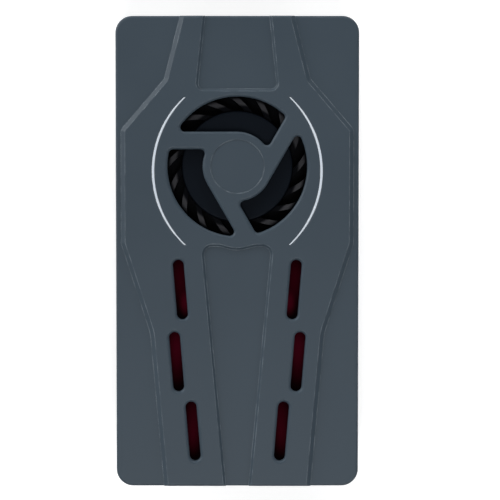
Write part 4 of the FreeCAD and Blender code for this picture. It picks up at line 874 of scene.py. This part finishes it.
# %% [markdown]
# ## Feet and the pad on the cooling plate
#
# Four rubber feet keep the body off the phone. Each has a shallow dish in its face, which helps it
# to hold. The pad on the cooling plate is a sheet of silicone that has settled a little unevenly,
# so the vertices of its lower face are raised by a slow noise of at most a tenth of a millimetre.

# %% Feet
foot_width = 12 * mm
foot_length = 8 * mm
dish_border = 0.9 * mm
dish_slope = 0.3 * mm
dish_depth = 0.2 * mm

feet_low, feet_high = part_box("rear_pads")
foot_height = feet_high.z - feet_low.z
feet = bmesh.new()
for side in (-1, 1):
    for end in (-1, 1):
        foot = soft_block(foot_width, foot_length, foot_height, corner=2.5 * mm, rim=0.25 * mm)
        face = lowest_face(foot)
        for inset in (dish_border, dish_slope):
            bmesh.ops.inset_region(foot, faces=[face], thickness=inset)
        bmesh.ops.translate(foot, verts=face.verts, vec=(0, 0, dish_depth))
        x = side * (feet_high.x - foot_width / 2)
        y = end * (feet_high.y - foot_length / 2)
        moved_into(feet, foot, Matrix.Translation((x, y, feet_high.z)))
make_piece("rubber_feet", feet, foot_rubber, "housing", ["rear_pads"])

# %% Silicone pad
faces_across = 30
faces_along = 44
pad_corner = 0.7 * mm
pad_rim = 0.12 * mm
settling = 0.05 * mm
settling_scale = 180  # of the noise, per metre
lower_face_starts = 0.9  # as a share of the thickness

pad_low, pad_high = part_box("thermal_pad")
pad_size = pad_high - pad_low
middle = (pad_low + pad_high) / 2
pad = bmesh.new()
bmesh.ops.create_grid(pad, x_segments=faces_across, y_segments=faces_along, size=0.5)
bmesh.ops.scale(pad, vec=(pad_size.x, pad_size.y, 1), verts=pad.verts)
corners = [corner for corner in pad.verts if len(corner.link_edges) == 2]
round_off(pad, corners, pad_corner, segments=4, affect="VERTICES")
lower = extrude_down(pad, pad_size.z)
rim = [
    edge
    for edge in pad.edges
    if set(edge.verts) <= lower
    and any(len(set(face.verts) & lower) == 2 for face in edge.link_faces)
]
round_off(pad, rim, pad_rim, segments=3, affect="EDGES")
for corner in pad.verts:
    if corner.co.z < -lower_face_starts * pad_size.z:
        corner.co.z += settling * (1 + noise.noise(corner.co * settling_scale))
bmesh.ops.translate(pad, verts=pad.verts, vec=(middle.x, middle.y, pad_high.z))
make_piece("silicone_pad", pad, pad_silicone, "housing", ["thermal_pad"])

# %% [markdown]
# ## Ribbed jaw pads
#
# The inner face of each jaw has a strip of rubber that grips the phone's edge. Upright ribs give
# with the edge and keep it from sliding. A rib is the same soft block, standing on the strip.

# %% Jaw pads
layer_share = 0.55  # of the pad's thickness, for the strip and for a rib
sinking_share = 0.45  # of the pad's thickness, from the strip's back to a rib's foot
strip_end = 1 * mm  # left free of ribs at both ends of the strip
rib_pitch = 1.7 * mm
rib_width = 0.8 * mm
rib_gap = 0.7 * mm  # from a rib's end to the strip's edge


def jaw_pad(node, side):
    """A ribbed strip in the space of the CAD pad; side is -1 on the left and 1 on the right."""
    low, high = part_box(node)
    thickness, length, height = high - low
    lying = Matrix.Rotation(side * math.pi / 2, 4, "Y")
    back = high.x if side > 0 else low.x
    middle = Vector((back, (low.y + high.y) / 2, (low.z + high.z) / 2))
    layer = thickness * layer_share
    pad = bmesh.new()
    strip = soft_block(height, length, layer, corner=0.8 * mm, rim=0.15 * mm)
    moved_into(pad, strip, Matrix.Translation(middle) @ lying)
    ribs = int((length - 2 * strip_end) / rib_pitch)
    for rib in range(ribs):
        y = (rib - (ribs - 1) / 2) * rib_pitch
        rib_length = height - 2 * rib_gap
        bar = soft_block(rib_length, rib_width, layer, corner=0.35 * mm, rim=0.16 * mm, steps=3)
        foot = middle + Vector((-side * thickness * sinking_share, y, 0))
        moved_into(pad, bar, Matrix.Translation(foot) @ lying)
    return pad


for name, side in (("left", -1), ("right", 1)):
    node = f"jaw_pad_{name}"
    shape = jaw_pad(node, side)
    make_piece(f"ribbed_pad_{name}", shape, foot_rubber, f"{name}_arm", [node])

# %% [markdown]
# ## Return springs
#
# Two small compression springs bring the arms back in. A spring is wire wound on a rod, so a small
# ring is spun about the X axis while each step also moves it along: a close turn at each end, where
# the coils nearly touch, and open turns between them. The springs shorten as the arms open.

# %% Springs
wire_radius = 0.2 * mm
wire_sides = 10
spring_turns = 9
close_rise = 2.2 * wire_radius  # along the axis, in one close turn
steps_per_turn = 20


def wound_spring(low, high):
    """A compression spring along X in a box, with one close turn at each end."""
    coil = (high.y - low.y) / 2 - wire_radius
    middle = Vector((0, (low.y + high.y) / 2, (low.z + high.z) / 2))
    shape = bmesh.new()
    ring = bmesh.ops.create_circle(shape, cap_ends=True, segments=wire_sides, radius=wire_radius)
    start = (low.x + wire_radius, middle.y + coil, middle.z)
    bmesh.ops.translate(shape, verts=ring["verts"], vec=start)
    leading = shape.verts[:] + shape.edges[:] + shape.faces[:]
    open_rise = high.x - low.x - 2 * wire_radius - 2 * close_rise
    for turns, rise in ((1, close_rise), (spring_turns - 2, open_rise), (1, close_rise)):
        steps = turns * steps_per_turn
        done = bmesh.ops.spin(
            shape,
            geom=leading,
            cent=middle,
            axis=(1, 0, 0),
            dvec=(rise / steps, 0, 0),
            angle=turns * 2 * math.pi,
            steps=steps,
            use_merge=False,
        )
        leading = done["geom_last"]
    return shape


for name in ("left", "right"):
    node = f"return_spring_{name}"
    low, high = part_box(node)
    shape = wound_spring(low, high)
    spring = make_piece(f"wound_spring_{name}", shape, bright_steel, "housing", [node])
    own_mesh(spring)

# %% [markdown]
# ## Contacts in the USB socket
#
# The tongue in the socket has a row of gold-plated contacts on each face. They are thin strips with
# soft ends, pressed into the plastic and a hair proud of it.

# %% Gold contacts
contact_count = 12  # on each face
contact_pitch = 0.5 * mm
contact_width = 0.27 * mm
contact_length = 3.6 * mm
contact_height = 0.05 * mm
contact_start = 2.4 * mm  # from the tongue's end to a contact's middle

contact_gold = metal(
    "contact_gold",
    clean=(0.83, 0.6, 0.22),
    stained=(0.7, 0.48, 0.16),
    gloss=(0.14, 0.26),
    lines=(1, 0.1, 1),
    scale=1800.0,
    depth=0.002 * mm,
)
tongue_low, tongue_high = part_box("usb_tongue")
contacts = bmesh.new()
for contact in range(contact_count):
    x = (contact - (contact_count - 1) / 2) * contact_pitch
    for face_z, inward, turn in ((tongue_low.z, 1, 0), (tongue_high.z, -1, math.pi)):
        size = (contact_width, contact_length, contact_height)
        strip = soft_block(*size, corner=0.06 * mm, rim=0.015 * mm, steps=2)
        sunk = face_z + inward * contact_height / 2
        spot = Matrix.Translation((x, tongue_low.y + contact_start, sunk))
        moved_into(contacts, strip, spot @ Matrix.Rotation(turn, 4, "Y"))
make_piece("usb_contacts", contacts, contact_gold, "housing")
